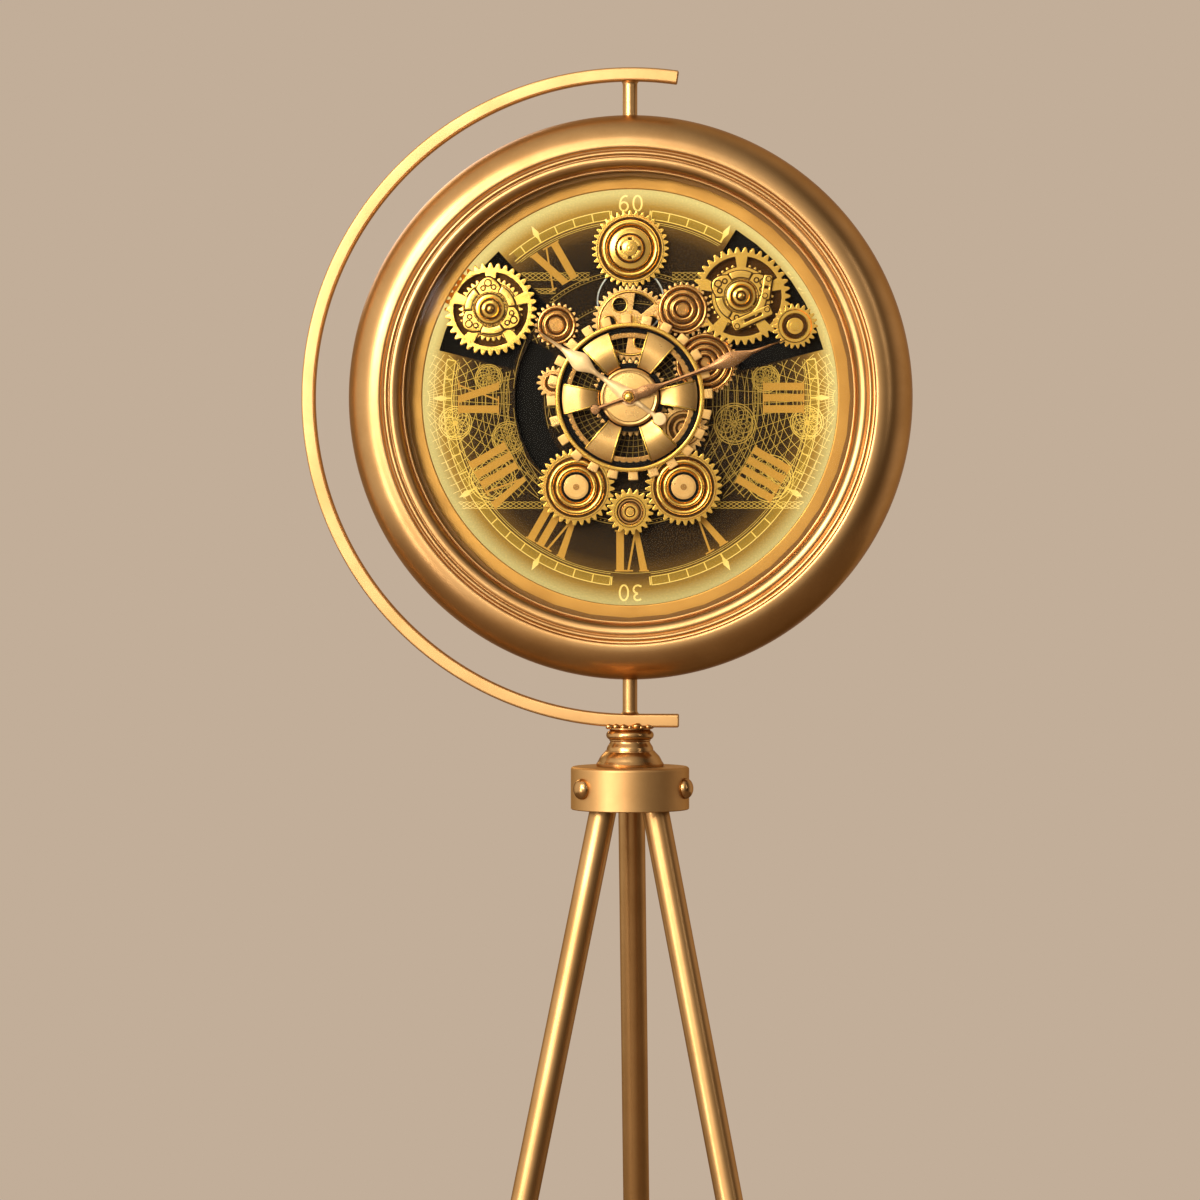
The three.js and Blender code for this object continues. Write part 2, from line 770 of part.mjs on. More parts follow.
function addBushes() {
  const inner = bushSeat - bushEngagement - thrustWall;
  add(dialGroup, "upper_bush", bushSolid(inner, bushSeat, inner - 1, bushSeat + 1), brass);
  const pinEnd = dialHeight - lowerPinTop;
  const lowerInner = pinEnd - thrustWall;
  add(dialGroup, "lower_bush", bushSolid(-bushSeat, -lowerInner, -bushSeat - 1, -pinEnd + fit), brass);
}

function addGlassAndLiner() {
  const glass = disc(glassRadius, glassDepth, glassDepth + glassThickness, shellSteps);
  add(dialGroup, "front_glass", glass, clearGlass);
  const gasketTop = glassDepth - fit;
  const gasketBottom = gasketTop - gasketThickness;
  add(dialGroup, "glass_gasket",
    ring(glassRadius - gasketWidth, glassRadius, gasketBottom, gasketTop, 36), blackRubber);
  const liner = turned([
    [linerInnerRadius, dialFront + fit], [linerRadius, dialFront + fit], [linerRadius, linerSkirtTop],
    [linerInnerRadius, linerSkirtTop], [linerInnerRadius, linerFlangeDepth + linerWall],
    [dialOpeningRadius, linerFlangeDepth + linerWall], [dialOpeningRadius, linerFlangeDepth],
    [linerInnerRadius, linerFlangeDepth],
  ], shellSteps);
  add(dialGroup, "liner_ring", liner, satinGold);
  add(dialGroup, "led_strip", ring(ledRadius - ledThickness, ledRadius, ledLow, ledHigh, 36), warmLight);
}

// Case: dial plate, movement plate and what hangs on them

function shaftHoles(solid, low, high) {
  let cut = solid;
  for (const [x, y] of shaftPlaces) {
    cut = cut.subtract(disc(shaftRadius + 2 * shaftFit, low, high, 8, x, y));
  }
  return cut.subtract(disc(bushOuter + 2 * fit, low, high, 12));
}

function addPlates() {
  let dial = disc(bezelInnerRadius, dialDepth, dialFront, shellSteps);
  for (const { from, to, inner, outer } of dialWindows) {
    dial = dial.subtract(plate(sectorShape(inner, outer, from, to, 6), dialDepth - 1, dialFront + 1));
  }
  add(dialGroup, "dial_plate", shaftHoles(dial, dialDepth - 1, dialFront + 1), darkDial);
  let movementPlate = disc(movementPlateRadius, movementPlateDepth, movementPlateFront, 32);
  for (const degrees of pillarAngles) {
    const [x, y] = atClock(pillarCircle, degrees);
    movementPlate = movementPlate.add(disc(pillarRadius, backCoverFront + fit, dialDepth - fit, 8, x, y));
  }
  add(dialGroup, "movement_plate",
    shaftHoles(movementPlate, movementPlateDepth - 1, movementPlateFront + 1), blackPaint);
}

function addElectrics() {
  const rear = worksFront - quartzDepth;
  const bayDepth = 2 * cellRadius + 0.5;
  const bay = block(cellLength + 2, 2 * cellRadius + 1, rear - 1, rear + bayDepth, 0, -cellOffset);
  const stem = disc(minuteShaftRadius + shaftFit, rear + 4, worksFront + 1, 12);
  const quartz = block(quartzSide, quartzSide, rear, worksFront).subtract(bay).subtract(stem);
  add(dialGroup, "quartz_movement", quartz, blackPlastic);
  const cell = geometryOf(disc(cellRadius, -cellLength / 2, cellLength / 2, 16)).rotateY(Math.PI / 2);
  add(dialGroup, "movement_cell",
    solidOf(cell.translate(0, -cellOffset, rear + cellRadius + 0.2)), zincSteel);
  add(dialGroup, "setting_knob", disc(knobRadius, rear - fit - knobHeight, rear - fit, 16, 0, knobOffset),
    blackPlastic);
  const motor = disc(motorRadius, worksFront - motorLength, worksFront, 20, pinionX, pinionY);
  const grip = worksFront - motorGrip - fit;
  const socket = disc(shaftRadius + shaftFit, grip, worksFront + 1, 12, pinionX, pinionY);
  add(dialGroup, "gear_motor", motor.subtract(socket), zincSteel);
  const boxRear = worksFront - boxDepth;
  add(dialGroup, "battery_box", block(boxWidth, boxHeight, boxRear, worksFront, 0, -boxDrop), blackPlastic);
  add(dialGroup, "light_switch",
    block(switchWidth, switchHeight, boxRear - fit - 3, boxRear - fit, switchOffset, -boxDrop + switchTravel),
    blackPlastic);
}

// Moving trains

function addCentreWheel() {
  const rearGear = gearBlank(largeTeeth, rearTrainModule, centrePhase, rearTrainDepth, rearTrainFront)
    .add(disc(2 * bushOuter, stemFoot, frontTrainDepth - fit, 16))
    .subtract(disc(wheelBore, stemFoot - 1, frontTrainDepth, 12));
  add(dialGroup, "centre_drive_gear", rearGear, polishedGold);

  const root = rootRadius(centreTeeth, frontTrainModule);
  const innerRim = root - ringWidth + toothRoot * frontTrainModule;
  let frontGear = gearBlank(centreTeeth, frontTrainModule, centrePhase, frontTrainDepth, frontTrainFront)
    .subtract(disc(innerRim, frontTrainDepth - 1, frontTrainFront + 1, 24));
  for (let i = 0; i < bladeCount; i += 2) {
    const degrees = bladePhaseClock + i * 360 / bladeCount;
    const reach = innerRim + 2;
    const spoke = block(ringSpokeWidth, reach, frontTrainDepth, frontTrainFront, 0, reach / 2);
    frontGear = frontGear.add(spoke.rotate([0, 0, -degrees]));
  }
  frontGear = frontGear
    .add(disc(2 * bushOuter, frontTrainDepth, spokeDiscDepth - fit, 16))
    .subtract(disc(wheelBore, frontTrainDepth - 1, spokeDiscDepth, 12));
  add(dialGroup, "centre_gear", frontGear, polishedGold);

  let crown = turned([
    [crownRimInner - crownLedge, crownDepth],
    [crownRimRadius, crownDepth],
    [crownRimRadius, crownDepth + crownRimHeight],
    [crownRimInner, crownDepth + crownRimHeight],
    [crownRimInner, crownDepth + crownLedgeThickness],
    [crownRimInner - crownLedge, crownDepth + crownLedgeThickness],
  ], 36);
  for (let i = 0; i < crownToothCount; i += 1) {
    const middle = crownPhaseClock + i * 360 / crownToothCount;
    const tooth = sectorShape(crownRimRadius - 1, crownToothRadius,
      middle - crownToothAngle / 2, middle + crownToothAngle / 2, 1);
    crown = crown.add(plate(tooth, crownDepth, crownDepth + crownToothThickness));
  }
  add(dialGroup, "crown_ring", crown, polishedGold);

  const grooveRadius = hubDiscRadius + hubGroove;
  const web = spokeDiscDepth + bladeThickness / 2;
  let spokeDisc = turned([
    [wheelBore, spokeDiscDepth], [grooveRadius + 3, spokeDiscDepth], [grooveRadius + 3, web],
    [hubDiscRadius, web], [hubDiscRadius, hubDiscFront - 1.5], [hubDiscRadius - 2, hubDiscFront],
    [wheelBore, hubDiscFront],
  ], 24);
  for (let i = 0; i < bladeCount; i += 1) {
    const from = bladePhaseClock + i * 360 / bladeCount - bladeAngle / 2;
    const blade = sectorShape(grooveRadius, bladeOuterRadius, from, from + bladeAngle, 2);
    spokeDisc = spokeDisc.add(plate(blade, spokeDiscDepth, spokeDiscDepth + bladeThickness));
  }
  add(dialGroup, "spoke_disc", spokeDisc, satinGold);
  const bush = ring(bushBore, bushOuter, movementPlateDepth, bushFront, 16);
  add(dialGroup, "centre_bush", bush, brass);
}

function addRearTrain() {
  let idler = gearBlank(largeTeeth, rearTrainModule, idlerPhase, rearTrainDepth, rearTrainFront);
  const holeCircle = rootRadius(largeTeeth, rearTrainModule) - idlerHoleInset;
  for (let i = 0; i < 6; i += 1) {
    const [x, y] = atClock(holeCircle, i * 60 + 30);
    idler = idler.subtract(disc(idlerHoleRadius, rearTrainDepth - 1, rearTrainFront + 1, 8, x, y));
  }
  idler = idler
    .add(stemAndShaft(rearTrainDepth + 1))
    .add(disc(stemRadius, rearTrainDepth, frontTrainDepth - 2 * fit, 16));
  add(dialGroup, "upper_idler", idler, satinGold).position.set(0, rearSpacing, 0);

  const top = gearBlank(largeTeeth, rearTrainModule, topPhase, rearTrainDepth, rearTrainFront)
    .add(stepped(rearTrainDepth + 1, [[topDrumRadius, topDrumHeight], [topHubRadius, topHubHeight]]))
    .add(stemAndShaft(rearTrainDepth + 1));
  add(dialGroup, "top_gear", top, polishedGold).position.set(0, 2 * rearSpacing, 0);

  const pinionSteps = [[pinionDrumRadius, pinionDrumHeight], [pinionTipRadius, pinionTipHeight]];
  const pinion = gearBlank(pinionTeeth, rearTrainModule, pinionPhase, rearTrainDepth, rearTrainFront)
    .add(stepped(rearTrainDepth + 1, pinionSteps, 14))
    .add(disc(stemRadius, stemFoot, rearTrainDepth + 1, 12))
    .add(disc(shaftRadius, worksFront - motorGrip, stemFoot + 1, 8));
  add(dialGroup, "drive_pinion", pinion, satinGold).position.set(pinionX, pinionY, 0);
}

function lowerGear(phase) {
  return gearBlank(lowerTeeth, frontTrainModule, phase, frontTrainDepth, frontTrainFront)
    .add(stepped(frontTrainDepth + 1, [[lowerDrumRadius, lowerDrumHeight], [lowerCapRadius, lowerCapHeight]]))
    .add(stemAndShaft(frontTrainDepth + 1));
}

function addFrontTrain() {
  const rightPhase = Math.PI - lower.leftPhase;
  add(dialGroup, "lower_left_gear", lowerGear(lower.leftPhase), polishedGold)
    .position.set(-lower.across, -lower.down, 0);
  add(dialGroup, "lower_right_gear", lowerGear(rightPhase), polishedGold)
    .position.set(lower.across, -lower.down, 0);
  const small = gearBlank(smallTeeth, frontTrainModule, lower.smallPhase, frontTrainDepth, frontTrainFront)
    .subtract(ring(recessInner, recessOuter, frontTrainFront - recessDepth, frontTrainFront + 1, 14))
    .add(stemAndShaft(frontTrainDepth + 1));
  add(dialGroup, "lower_small_gear", small, copperGold).position.set(0, -lower.smallDown, 0);
}

// Hands

function handSolid(outline, length, leaf, tail, tailRadius, low, clock) {
  const points = outline.map(([along, wide]) => new THREE.Vector2(-wide * leaf, along * length));
  const mirrored = outline.map(([along, wide]) => new THREE.Vector2(wide * leaf, along * length)).reverse();
  const tailHalf = tailRadius * 0.45;
  points.unshift(new THREE.Vector2(-tailHalf, -tail));
  mirrored.push(new THREE.Vector2(tailHalf, -tail));
  const shape = new THREE.Shape([...mirrored.reverse(), ...points.reverse()]);
  return plate(shape, low, low + handThickness)
    .add(disc(tailRadius, low, low + handThickness, 16, 0, -tail))
    .rotate([0, 0, -clock]);
}

function addHands() {
  const hourBoss = bushFront + fit;
  const hour = handSolid(hourOutline, hourLength, hourLeaf, hourTail, hourTailRadius, hourDepth, hourClock)
    .add(disc(handBossRadius, hourBoss, hourDepth + handThickness, 20))
    .add(disc(hourPipeRadius, movementPlateFront, hourBoss + 1, 16))
    .subtract(disc(hourPipeBore, movementPlateFront - 1, minuteDepth, 16));
  add(dialGroup, "hour_hand", hour, copperGold);
  const minuteBoss = hourDepth + handThickness + fit;
  const minute = handSolid(
    minuteOutline, minuteLength, minuteLeaf, minuteTail, minuteTailRadius, minuteDepth, minuteClock)
    .add(disc(handBossRadius * 0.8, minuteBoss, minuteDepth + handThickness, 20))
    .add(disc(minuteShaftRadius, worksFront - 6, minuteBoss + 1, 12));
  add(dialGroup, "minute_hand", minute, copperGold);
  const nutSeat = minuteDepth + handThickness + fit;
  const nut = turned([
    [0, nutSeat], [handNutRadius, nutSeat], [handNutRadius, nutSeat + handNutHeight * 0.35],
    [handNutRadius * 0.8, nutSeat + handNutHeight * 0.75], [handNutRadius * 0.35, nutSeat + handNutHeight],
    [0, nutSeat + handNutHeight],
  ], 16);
  add(dialGroup, "hand_nut", nut, polishedGold);
}

// Fixed clusters

const leftWheel = { x: leftWheelAcross, y: leftWheelUp, teeth: leftWheelTeeth, module: clusterModule };
const rightWheel = { x: rightWheelAcross, y: rightWheelUp, teeth: rightWheelTeeth, module: clusterModule };
const leftIdler = { x: leftIdlerAcross, y: leftIdlerUp, teeth: leftIdlerTeeth, module: clusterIdlerModule };
const rightIdler = {
  x: rightIdlerAcross, y: rightIdlerUp, teeth: rightIdlerTeeth, module: clusterIdlerModule,
};
const leftDrum = { x: leftDrumAcross, y: leftDrumUp, radius: leftDrumRadius, low: stemFoot };
const upperDrum = { x: upperDrumAcross, y: upperDrumUp, radius: upperDrumRadius, low: rearTrainFront + 3 * fit };
const rightDrum = { x: rightDrumAcross, y: rightDrumUp, radius: rightDrumRadius, low: stemFoot };

// A fixed post stands on the dial plate, or through a window of it on the movement plate.
function fixedPost(x, y, top) {
  const radius = Math.hypot(x, y);
  const clock = (Math.atan2(x, y) * 180 / Math.PI + 360) % 360;
  const inWindow = dialWindows.some(({ from, to, inner, outer }) => (
    clock > from && clock < to && radius > inner && radius < outer));
  return disc(postRadius, inWindow ? movementPlateFront + fit : stemFoot, top, 12);
}

function clusterWheel({ x, y, teeth, module }, spokes) {
  const low = clusterWheelDepth;
  const high = low + clusterWheelThickness;
  let wheel = gearBlank(teeth, module, 0, low, high);
  const rim = rootRadius(teeth, module) - clusterRimWidth;
  const hub = 2 * stemRadius;
  for (let i = 0; i < spokes; i += 1) {
    const from = i * 360 / spokes + clusterSpokeAngle / 2;
    const window = sectorShape(hub, rim, from, from + 360 / spokes - clusterSpokeAngle, 3);
    wheel = wheel.subtract(plate(window, low - 1, high + 1));
  }
  return wheel.add(fixedPost(x, y, low + 1)).add(disc(hub * 0.8, low, high + clusterHubRise, 14));
}

function bridge(radius, lobes, holes) {
  const points = [];
  for (let i = 0; i < 24; i += 1) {
    const angle = i * Math.PI / 12;
    const reach = radius * (0.8 + 0.2 * Math.cos(lobes * angle));
    points.push(new THREE.Vector2(reach * Math.cos(angle), reach * Math.sin(angle)));
  }
  const low = clusterWheelDepth + clusterWheelThickness + clusterHubRise + fit;
  let solid = plate(new THREE.Shape(points), low, low + bridgeThickness);
  for (let i = 0; i < holes; i += 1) {
    const [x, y] = atClock(bridgeHoleCircle, 90 + (i + 0.5) * 360 / holes);
    solid = solid.subtract(disc(bridgeHoleRadius, low - 1, low + bridgeThickness + 1, 8, x, y));
  }
  const jewel = [[bridgeJewelRadius, bridgeThickness], [bridgeJewelRadius / 2, bridgeThickness / 2]];
  return solid.add(stepped(low + 1, jewel, 12));
}

function smallClusterGear({ x, y, teeth, module }, low) {
  const high = low + clusterIdlerThickness;
  return gearBlank(teeth, module, 0, low, high)
    .subtract(ring(stemRadius, rootRadius(teeth, module) - 1.5 * module, high - 1.4, high + 1, 14))
    .add(fixedPost(x, y, low + 1));
}

function drum({ x, y, radius, low }) {
  const steps = [[radius, drumStep], [radius * 0.78, drumStep], [radius * 0.5, drumStep]];
  return stepped(low, steps, 16).add(fixedPost(x, y, low + 1));
}

function addClusters() {
  const place = (name, solid, finish, { x, y }) => add(dialGroup, name, solid, finish).position.set(x, y, 0);
  place("left_wheel", clusterWheel(leftWheel, 5), polishedGold, leftWheel);
  place("right_wheel", clusterWheel(rightWheel, 5), polishedGold, rightWheel);
  place("left_bridge", bridge(leftBridgeRadius, 3, 6), polishedGold, leftWheel);
  place("right_bridge", bridge(rightBridgeRadius, 4, 4), polishedGold, rightWheel);
  place("left_idler", smallClusterGear(leftIdler, leftIdlerDepth), copperGold, leftIdler);
  place("right_idler", smallClusterGear(rightIdler, rightIdlerDepth), polishedGold, rightIdler);
  place("left_drum", drum(leftDrum), copperGold, leftDrum);
  place("right_drum_upper", drum(upperDrum), copperGold, upperDrum);
  place("right_drum_lower", drum(rightDrum), copperGold, rightDrum);
}

addLegs();
addHead();
addArm();
addShell();
addBushes();
addGlassAndLiner();
addPlates();
addElectrics();
addCentreWheel();
addRearTrain();
addFrontTrain();
addHands();
addClusters();

// The origin moves to the floor under the middle of the whole clock's box

parts.updateMatrixWorld(true);
const middle = new THREE.Box3().setFromObject(parts, true).getCenter(new THREE.Vector3());
const clock = new THREE.Group();
parts.position.set(-middle.x, -middle.y, 0);
clock.add(parts);

export default clock;
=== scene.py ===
"""Looks of a tripod floor clock: a round skeleton clock that swivels in a C-shaped arm on three legs.

Lengths are in millimetres until a placing matrix turns them into the frame's metres. On the dial, x is to the
right, y is up and z is the depth towards the viewer, from the swivel axis. Clock angles are in degrees.
"""

import json
import logging
import math
import random
from dataclasses import dataclass, field
from enum import Enum

import bmesh
import bpy
from mathutils import Matrix, Vector


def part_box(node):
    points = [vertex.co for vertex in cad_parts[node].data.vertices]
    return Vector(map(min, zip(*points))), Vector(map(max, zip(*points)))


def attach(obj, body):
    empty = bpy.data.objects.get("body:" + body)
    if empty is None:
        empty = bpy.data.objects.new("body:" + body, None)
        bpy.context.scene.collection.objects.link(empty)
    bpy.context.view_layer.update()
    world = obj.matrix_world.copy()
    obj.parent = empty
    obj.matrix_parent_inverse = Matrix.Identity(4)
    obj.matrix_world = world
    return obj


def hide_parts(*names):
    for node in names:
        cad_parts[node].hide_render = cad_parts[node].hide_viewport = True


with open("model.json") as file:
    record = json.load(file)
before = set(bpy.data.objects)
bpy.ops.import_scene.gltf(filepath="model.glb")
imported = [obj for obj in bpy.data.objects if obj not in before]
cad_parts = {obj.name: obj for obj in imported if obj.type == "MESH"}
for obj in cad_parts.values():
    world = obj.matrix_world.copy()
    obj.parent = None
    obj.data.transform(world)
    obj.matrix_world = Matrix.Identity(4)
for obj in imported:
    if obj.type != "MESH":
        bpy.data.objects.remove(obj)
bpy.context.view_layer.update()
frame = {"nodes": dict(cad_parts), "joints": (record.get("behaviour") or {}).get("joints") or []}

log = logging.getLogger("clock")

MM = 0.001
JOINTS = {joint["name"]: Vector(joint.get("pos_m", (0, 0, 0))) for joint in frame["joints"]}
AXIS = JOINTS["case_swivel"]
Point = tuple[float, float]
Loop = list[Point]
Shape = bmesh.types.BMesh
Piece = bpy.types.Object
Tree = bpy.types.NodeTree
Socket = bpy.types.NodeSocket


# Placing and mesh helpers


def on_dial(x: float = 0.0, y: float = 0.0, clock: float = 0.0) -> Matrix:
    """Gives the matrix that stands a piece on the dial.

    Args:
        x: Millimetres to the right of the dial's centre.
        y: Millimetres above the dial's centre.
        clock: Degrees by which the piece is turned clockwise.

    Returns:
        Matrix from millimetres on the dial to the frame's metres.
    """
    upright = Matrix(((1, 0, 0, 0), (0, 0, -1, 0), (0, 1, 0, 0), (0, 0, 0, 1)))
    turn = Matrix.Rotation(math.radians(-clock), 4, "Z")
    return Matrix.Translation(AXIS) @ Matrix.Scale(MM, 4) @ upright @ Matrix.Translation((x, y, 0)) @ turn


def on_joint(joint: str) -> Matrix:
    """Gives the dial matrix whose centre is a joint of the frame."""
    offset = (JOINTS[joint] - AXIS) / MM
    return on_dial(offset.x, offset.z)


def on_stand() -> Matrix:
    """Gives the matrix of the stand: millimetres about the swivel axis, upwards from the floor."""
    return Matrix.Translation((AXIS.x, AXIS.y, 0)) @ Matrix.Scale(MM, 4)


def at_clock(radius: float, degrees: float) -> Point:
    """Gives the point at a radius and a clock angle."""
    angle = math.radians(degrees)
    return radius * math.sin(angle), radius * math.cos(angle)


def spun(x: float, y: float, clock: float, place: Point = (0.0, 0.0)) -> Point:
    """Turns a point clockwise about the origin by degrees, then moves it to a place."""
    a = math.radians(clock)
    return place[0] + x * math.cos(a) + y * math.sin(a), place[1] - x * math.sin(a) + y * math.cos(a)


def arc(x: float, y: float, radius: float, start: float, end: float, steps: int, rise: float | None = None) -> Loop:
    """Gives points on an arc.

    Args:
        x: Its centre.
        y: Its centre.
        radius: Its radius, or that along x where it is an ellipse.
        start: Angle of its first point, in degrees from x towards y.
        end: Angle of its last point.
        steps: Steps between the two.
        rise: Radius along y where it is an ellipse.

    Returns:
        The points.
    """
    turns = [math.radians(start + (end - start) * i / steps) for i in range(steps + 1)]
    return [(x + radius * math.cos(a), y + (rise or radius) * math.sin(a)) for a in turns]


def circle(radius: float, steps: int = 96, x: float = 0.0, y: float = 0.0) -> Loop:
    """Gives the points of a full circle."""
    return arc(x, y, radius, 0, 360, steps)[:-1]


def sector(inner: float, outer: float, start: float, end: float, steps: int = 16) -> Loop:
    """Gives the outline of a ring sector between two clock angles."""
    turns = [start + (end - start) * i / steps for i in range(steps + 1)]
    return [at_clock(outer, a) for a in turns] + [at_clock(inner, a) for a in reversed(turns)]


def rounded_bar(half_long: float, half_wide: float, radius: float, steps: int = 4, y: float = 0.0) -> Loop:
    """Gives the outline of a bar with rounded corners.

    Args:
        half_long: Half of its length, along x.
        half_wide: Half of its width.
        radius: Radius of the corners.
        steps: Steps round a corner.
        y: Place of its middle.

    Returns:
        The points.
    """
    loop: Loop = []
    for sx, sy, start in ((1, 1, 0), (-1, 1, 90), (-1, -1, 180), (1, -1, 270)):
        loop += arc(sx * (half_long - radius), y + sy * (half_wide - radius), radius, start, start + 90, steps)
    return loop


def band(inner: float, outer: float, low: float, high: float) -> Loop:
    """Gives the profile of a plain ring, or of a disc where the inner radius is 0."""
    return [(inner, low), (outer, low), (outer, high), (inner, high)]


def eased(points: Loop, per: int) -> Loop:
    """Draws a smooth open curve through points.

    Args:
        points: The points that the curve passes.
        per: Steps between two points.

    Returns:
        Points of the curve.
    """
    last = len(points) - 1
    made: Loop = []
    for i in range(last):
        p = [Vector(points[min(max(i + k, 0), last)]) for k in (-1, 0, 1, 2)]
        for s in range(per):
            t = s / per
            q = 0.5 * (2 * p[1] + (p[2] - p[0]) * t + (2 * p[0] - 5 * p[1] + 4 * p[2] - p[3]) * t ** 2
                       + (3 * p[1] - p[0] - 3 * p[2] + p[3]) * t ** 3)
            made.append((q.x, q.y))
    return [*made, points[-1]]


def as_piece(name: str, shape: Shape, place: Matrix, sharp: float = 32.0, crisp: bool = True) -> Piece:
    """Turns a mesh in millimetres into a piece whose origin is the placing matrix's origin.

    Args:
        name: The piece's name.
        shape: The mesh, which is freed here.
        place: Matrix to the frame's metres.
        sharp: Edges over this angle in degrees stay sharp.
        crisp: True if flat faces shade flat up to their rounded edges.

    Returns:
        The linked piece.
    """
    bmesh.ops.remove_doubles(shape, verts=shape.verts, dist=2e-4)
    bmesh.ops.recalc_face_normals(shape, faces=shape.faces)
    mesh = bpy.data.meshes.new(name)
    shape.to_mesh(mesh)
    shape.free()
    origin = Matrix.Translation(place.translation)
    mesh.transform(origin.inverted() @ place)
    mesh.polygons.foreach_set("use_smooth", [True] * len(mesh.polygons))
    mesh.set_sharp_from_angle(angle=math.radians(sharp))
    piece = bpy.data.objects.new(name, mesh)
    piece.matrix_world = origin
    bpy.context.scene.collection.objects.link(piece)
    if crisp:
        flat = piece.modifiers.new("flat_faces", "WEIGHTED_NORMAL")
        flat.keep_sharp = True
        flat.weight = 70
    return piece


def add_turned(shape: Shape, profile: Loop, segments: int = 96, x: float = 0.0, y: float = 0.0) -> None:
    """Adds a profile turned about z.

    Args:
        shape: The mesh that it goes into.
        profile: Radius and height of each point; off the axis it is closed on itself.
        segments: Steps round the axis.
        x: Place of the axis.
        y: Place of the axis.
    """
    rings = []
    for radius, height in profile:
        if radius < 1e-5:
            rings.append([shape.verts.new((x, y, height))])
        else:
            rings.append([shape.verts.new((*place, height)) for place in circle(radius, segments, x, y)])
    pairs = list(zip(rings, rings[1:]))
    if min(radius for radius, _ in profile) > 1e-5:
        pairs.append((rings[-1], rings[0]))
    for low, high in pairs:
        for k in range(segments):
            n = (k + 1) % segments
            corners = [low[k % len(low)], low[n % len(low)], high[n % len(high)], high[k % len(high)]]
            unique = list(dict.fromkeys(corners))
            if len(unique) > 2:
                shape.faces.new(unique)


def turned(name: str, profile: Loop, place: Matrix, segments: int = 96, sharp: float = 32.0) -> Piece:
    """Makes one piece from a turned profile."""
    shape = bmesh.new()
    add_turned(shape, profile, segments)
    return as_piece(name, shape, place, sharp)


def add_plate(shape: Shape, loops: list[Loop], low: float, high: float, edge: float = 0.25) -> None:
    """Adds a flat plate with rounded edges.

    Args:
        shape: The mesh that it goes into.
        loops: Its outline, and an outline for each opening.
        low: Depth of its back.
        high: Depth of its front.
        edge: Radius of the rounded edges.
    """
    curve = bpy.data.curves.new("plate", "CURVE")
    curve.dimensions = "2D"
    curve.fill_mode = "BOTH"
    curve.bevel_depth = edge
    curve.bevel_resolution = 1
    curve.extrude = (high - low) / 2 - edge
    curve.offset = -edge
    for loop in loops:
        spline = curve.splines.new("POLY")
        spline.points.add(len(loop) - 1)
        for point, (x, y) in zip(spline.points, loop):
            point.co = (x, y, 0, 1)
        spline.use_cyclic_u = True
    holder = bpy.data.objects.new("plate", curve)
    bpy.context.scene.collection.objects.link(holder)
    bpy.context.view_layer.update()
    mesh = bpy.data.meshes.new_from_object(holder.evaluated_get(bpy.context.evaluated_depsgraph_get()))
    mesh.transform(Matrix.Translation((0, 0, (low + high) / 2)))
    shape.from_mesh(mesh)
    bpy.data.objects.remove(holder)
    bpy.data.curves.remove(curve)
    bpy.data.meshes.remove(mesh)


def add_loft(shape: Shape, sections: list[list[Vector]]) -> None:
    """Joins closed sections of as many points into a skin and closes its two ends.

    Args:
        shape: The mesh that it goes into.
        sections: The points of each section, in order.
    """
    rows = [[shape.verts.new(p) for p in section] for section in sections]
    count = len(rows[0])
    for a, b in zip(rows, rows[1:]):
        for k in range(count):
            n = (k + 1) % count
            shape.faces.new((a[k], a[n], b[n], b[k]))
    shape.faces.new(list(reversed(rows[0])))
    shape.faces.new(rows[-1])


def slab(shape: Shape, points: Loop, low: float, high: float) -> None:
    """Adds a thin closed slab over a convex outline."""
    bottom = [shape.verts.new((x, y, low)) for x, y in points]
    top = [shape.verts.new((x, y, high)) for x, y in points]
    shape.faces.new(list(reversed(bottom)))
    shape.faces.new(top)
    for k in range(len(points)):
        n = (k + 1) % len(points)
        shape.faces.new((bottom[k], bottom[n], top[n], top[k]))


def add_bar(shape: Shape, length: float, width: float, low: float, high: float, turn: float, x: float = 0.0,
            y: float = 0.0) -> None:
    """Adds a small bar centred at a place and turned by an angle in degrees."""
    slab(shape, [spun(sx * length / 2, sy * width / 2, -turn, (x, y))
                 for sx, sy in ((-1, -1), (1, -1), (1, 1), (-1, 1))], low, high)


def slotted_screw(shape: Shape, radius: float, seat: float, x: float, y: float, turn: float) -> None:
    """Adds a polished cheese-head screw whose slot is cut between two half heads.

    Args:
        shape: The mesh that it goes into.
        radius: Radius of the head.
        seat: Depth that it sits on.
        x: Place to the right.
        y: Place upwards.
        turn: Angle of the slot.
    """
    add_turned(shape, band(0, radius, seat - 0.2, seat + 0.35), 20, x, y)
    for side in (0, 180):
        half = arc(0, 0, radius * 0.96, 14 + side, 166 + side, 9)
        slab(shape, [spun(px, py, -turn, (x, y)) for px, py in half], seat + 0.3, seat + 0.9)


def stepped_profile(start: float, rings: list[tuple[float, float]], edge: float = 0.35) -> Loop:
    """Gives the profile of a stepped drum with rounded arrises.

    Args:
        start: Depth of its back.
        rings: Radius and front depth of each step, from the widest.
        edge: Radius of the arrises.

    Returns:
        The profile from the axis at the back to the axis at the front.
    """
    profile: Loop = [(0, start), (rings[0][0], start)]
    for radius, high in rings:
        profile.append((radius, profile[-1][1]) if profile[-1][0] != radius else profile[-1])
        profile += arc(radius - edge, high - edge, edge, 0, 90, 4)
    profile.append((0, rings[-1][1]))
    return profile


# Finishes


def linear(colour: int) -> tuple[float, float, float, float]:
    """Turns an sRGB hex colour into linear values."""
    parts = [((colour >> shift) & 255) / 255 for shift in (16, 8, 0)]
    return (*[p / 12.92 if p <= 0.04045 else ((p + 0.055) / 1.055) ** 2.4 for p in parts], 1.0)


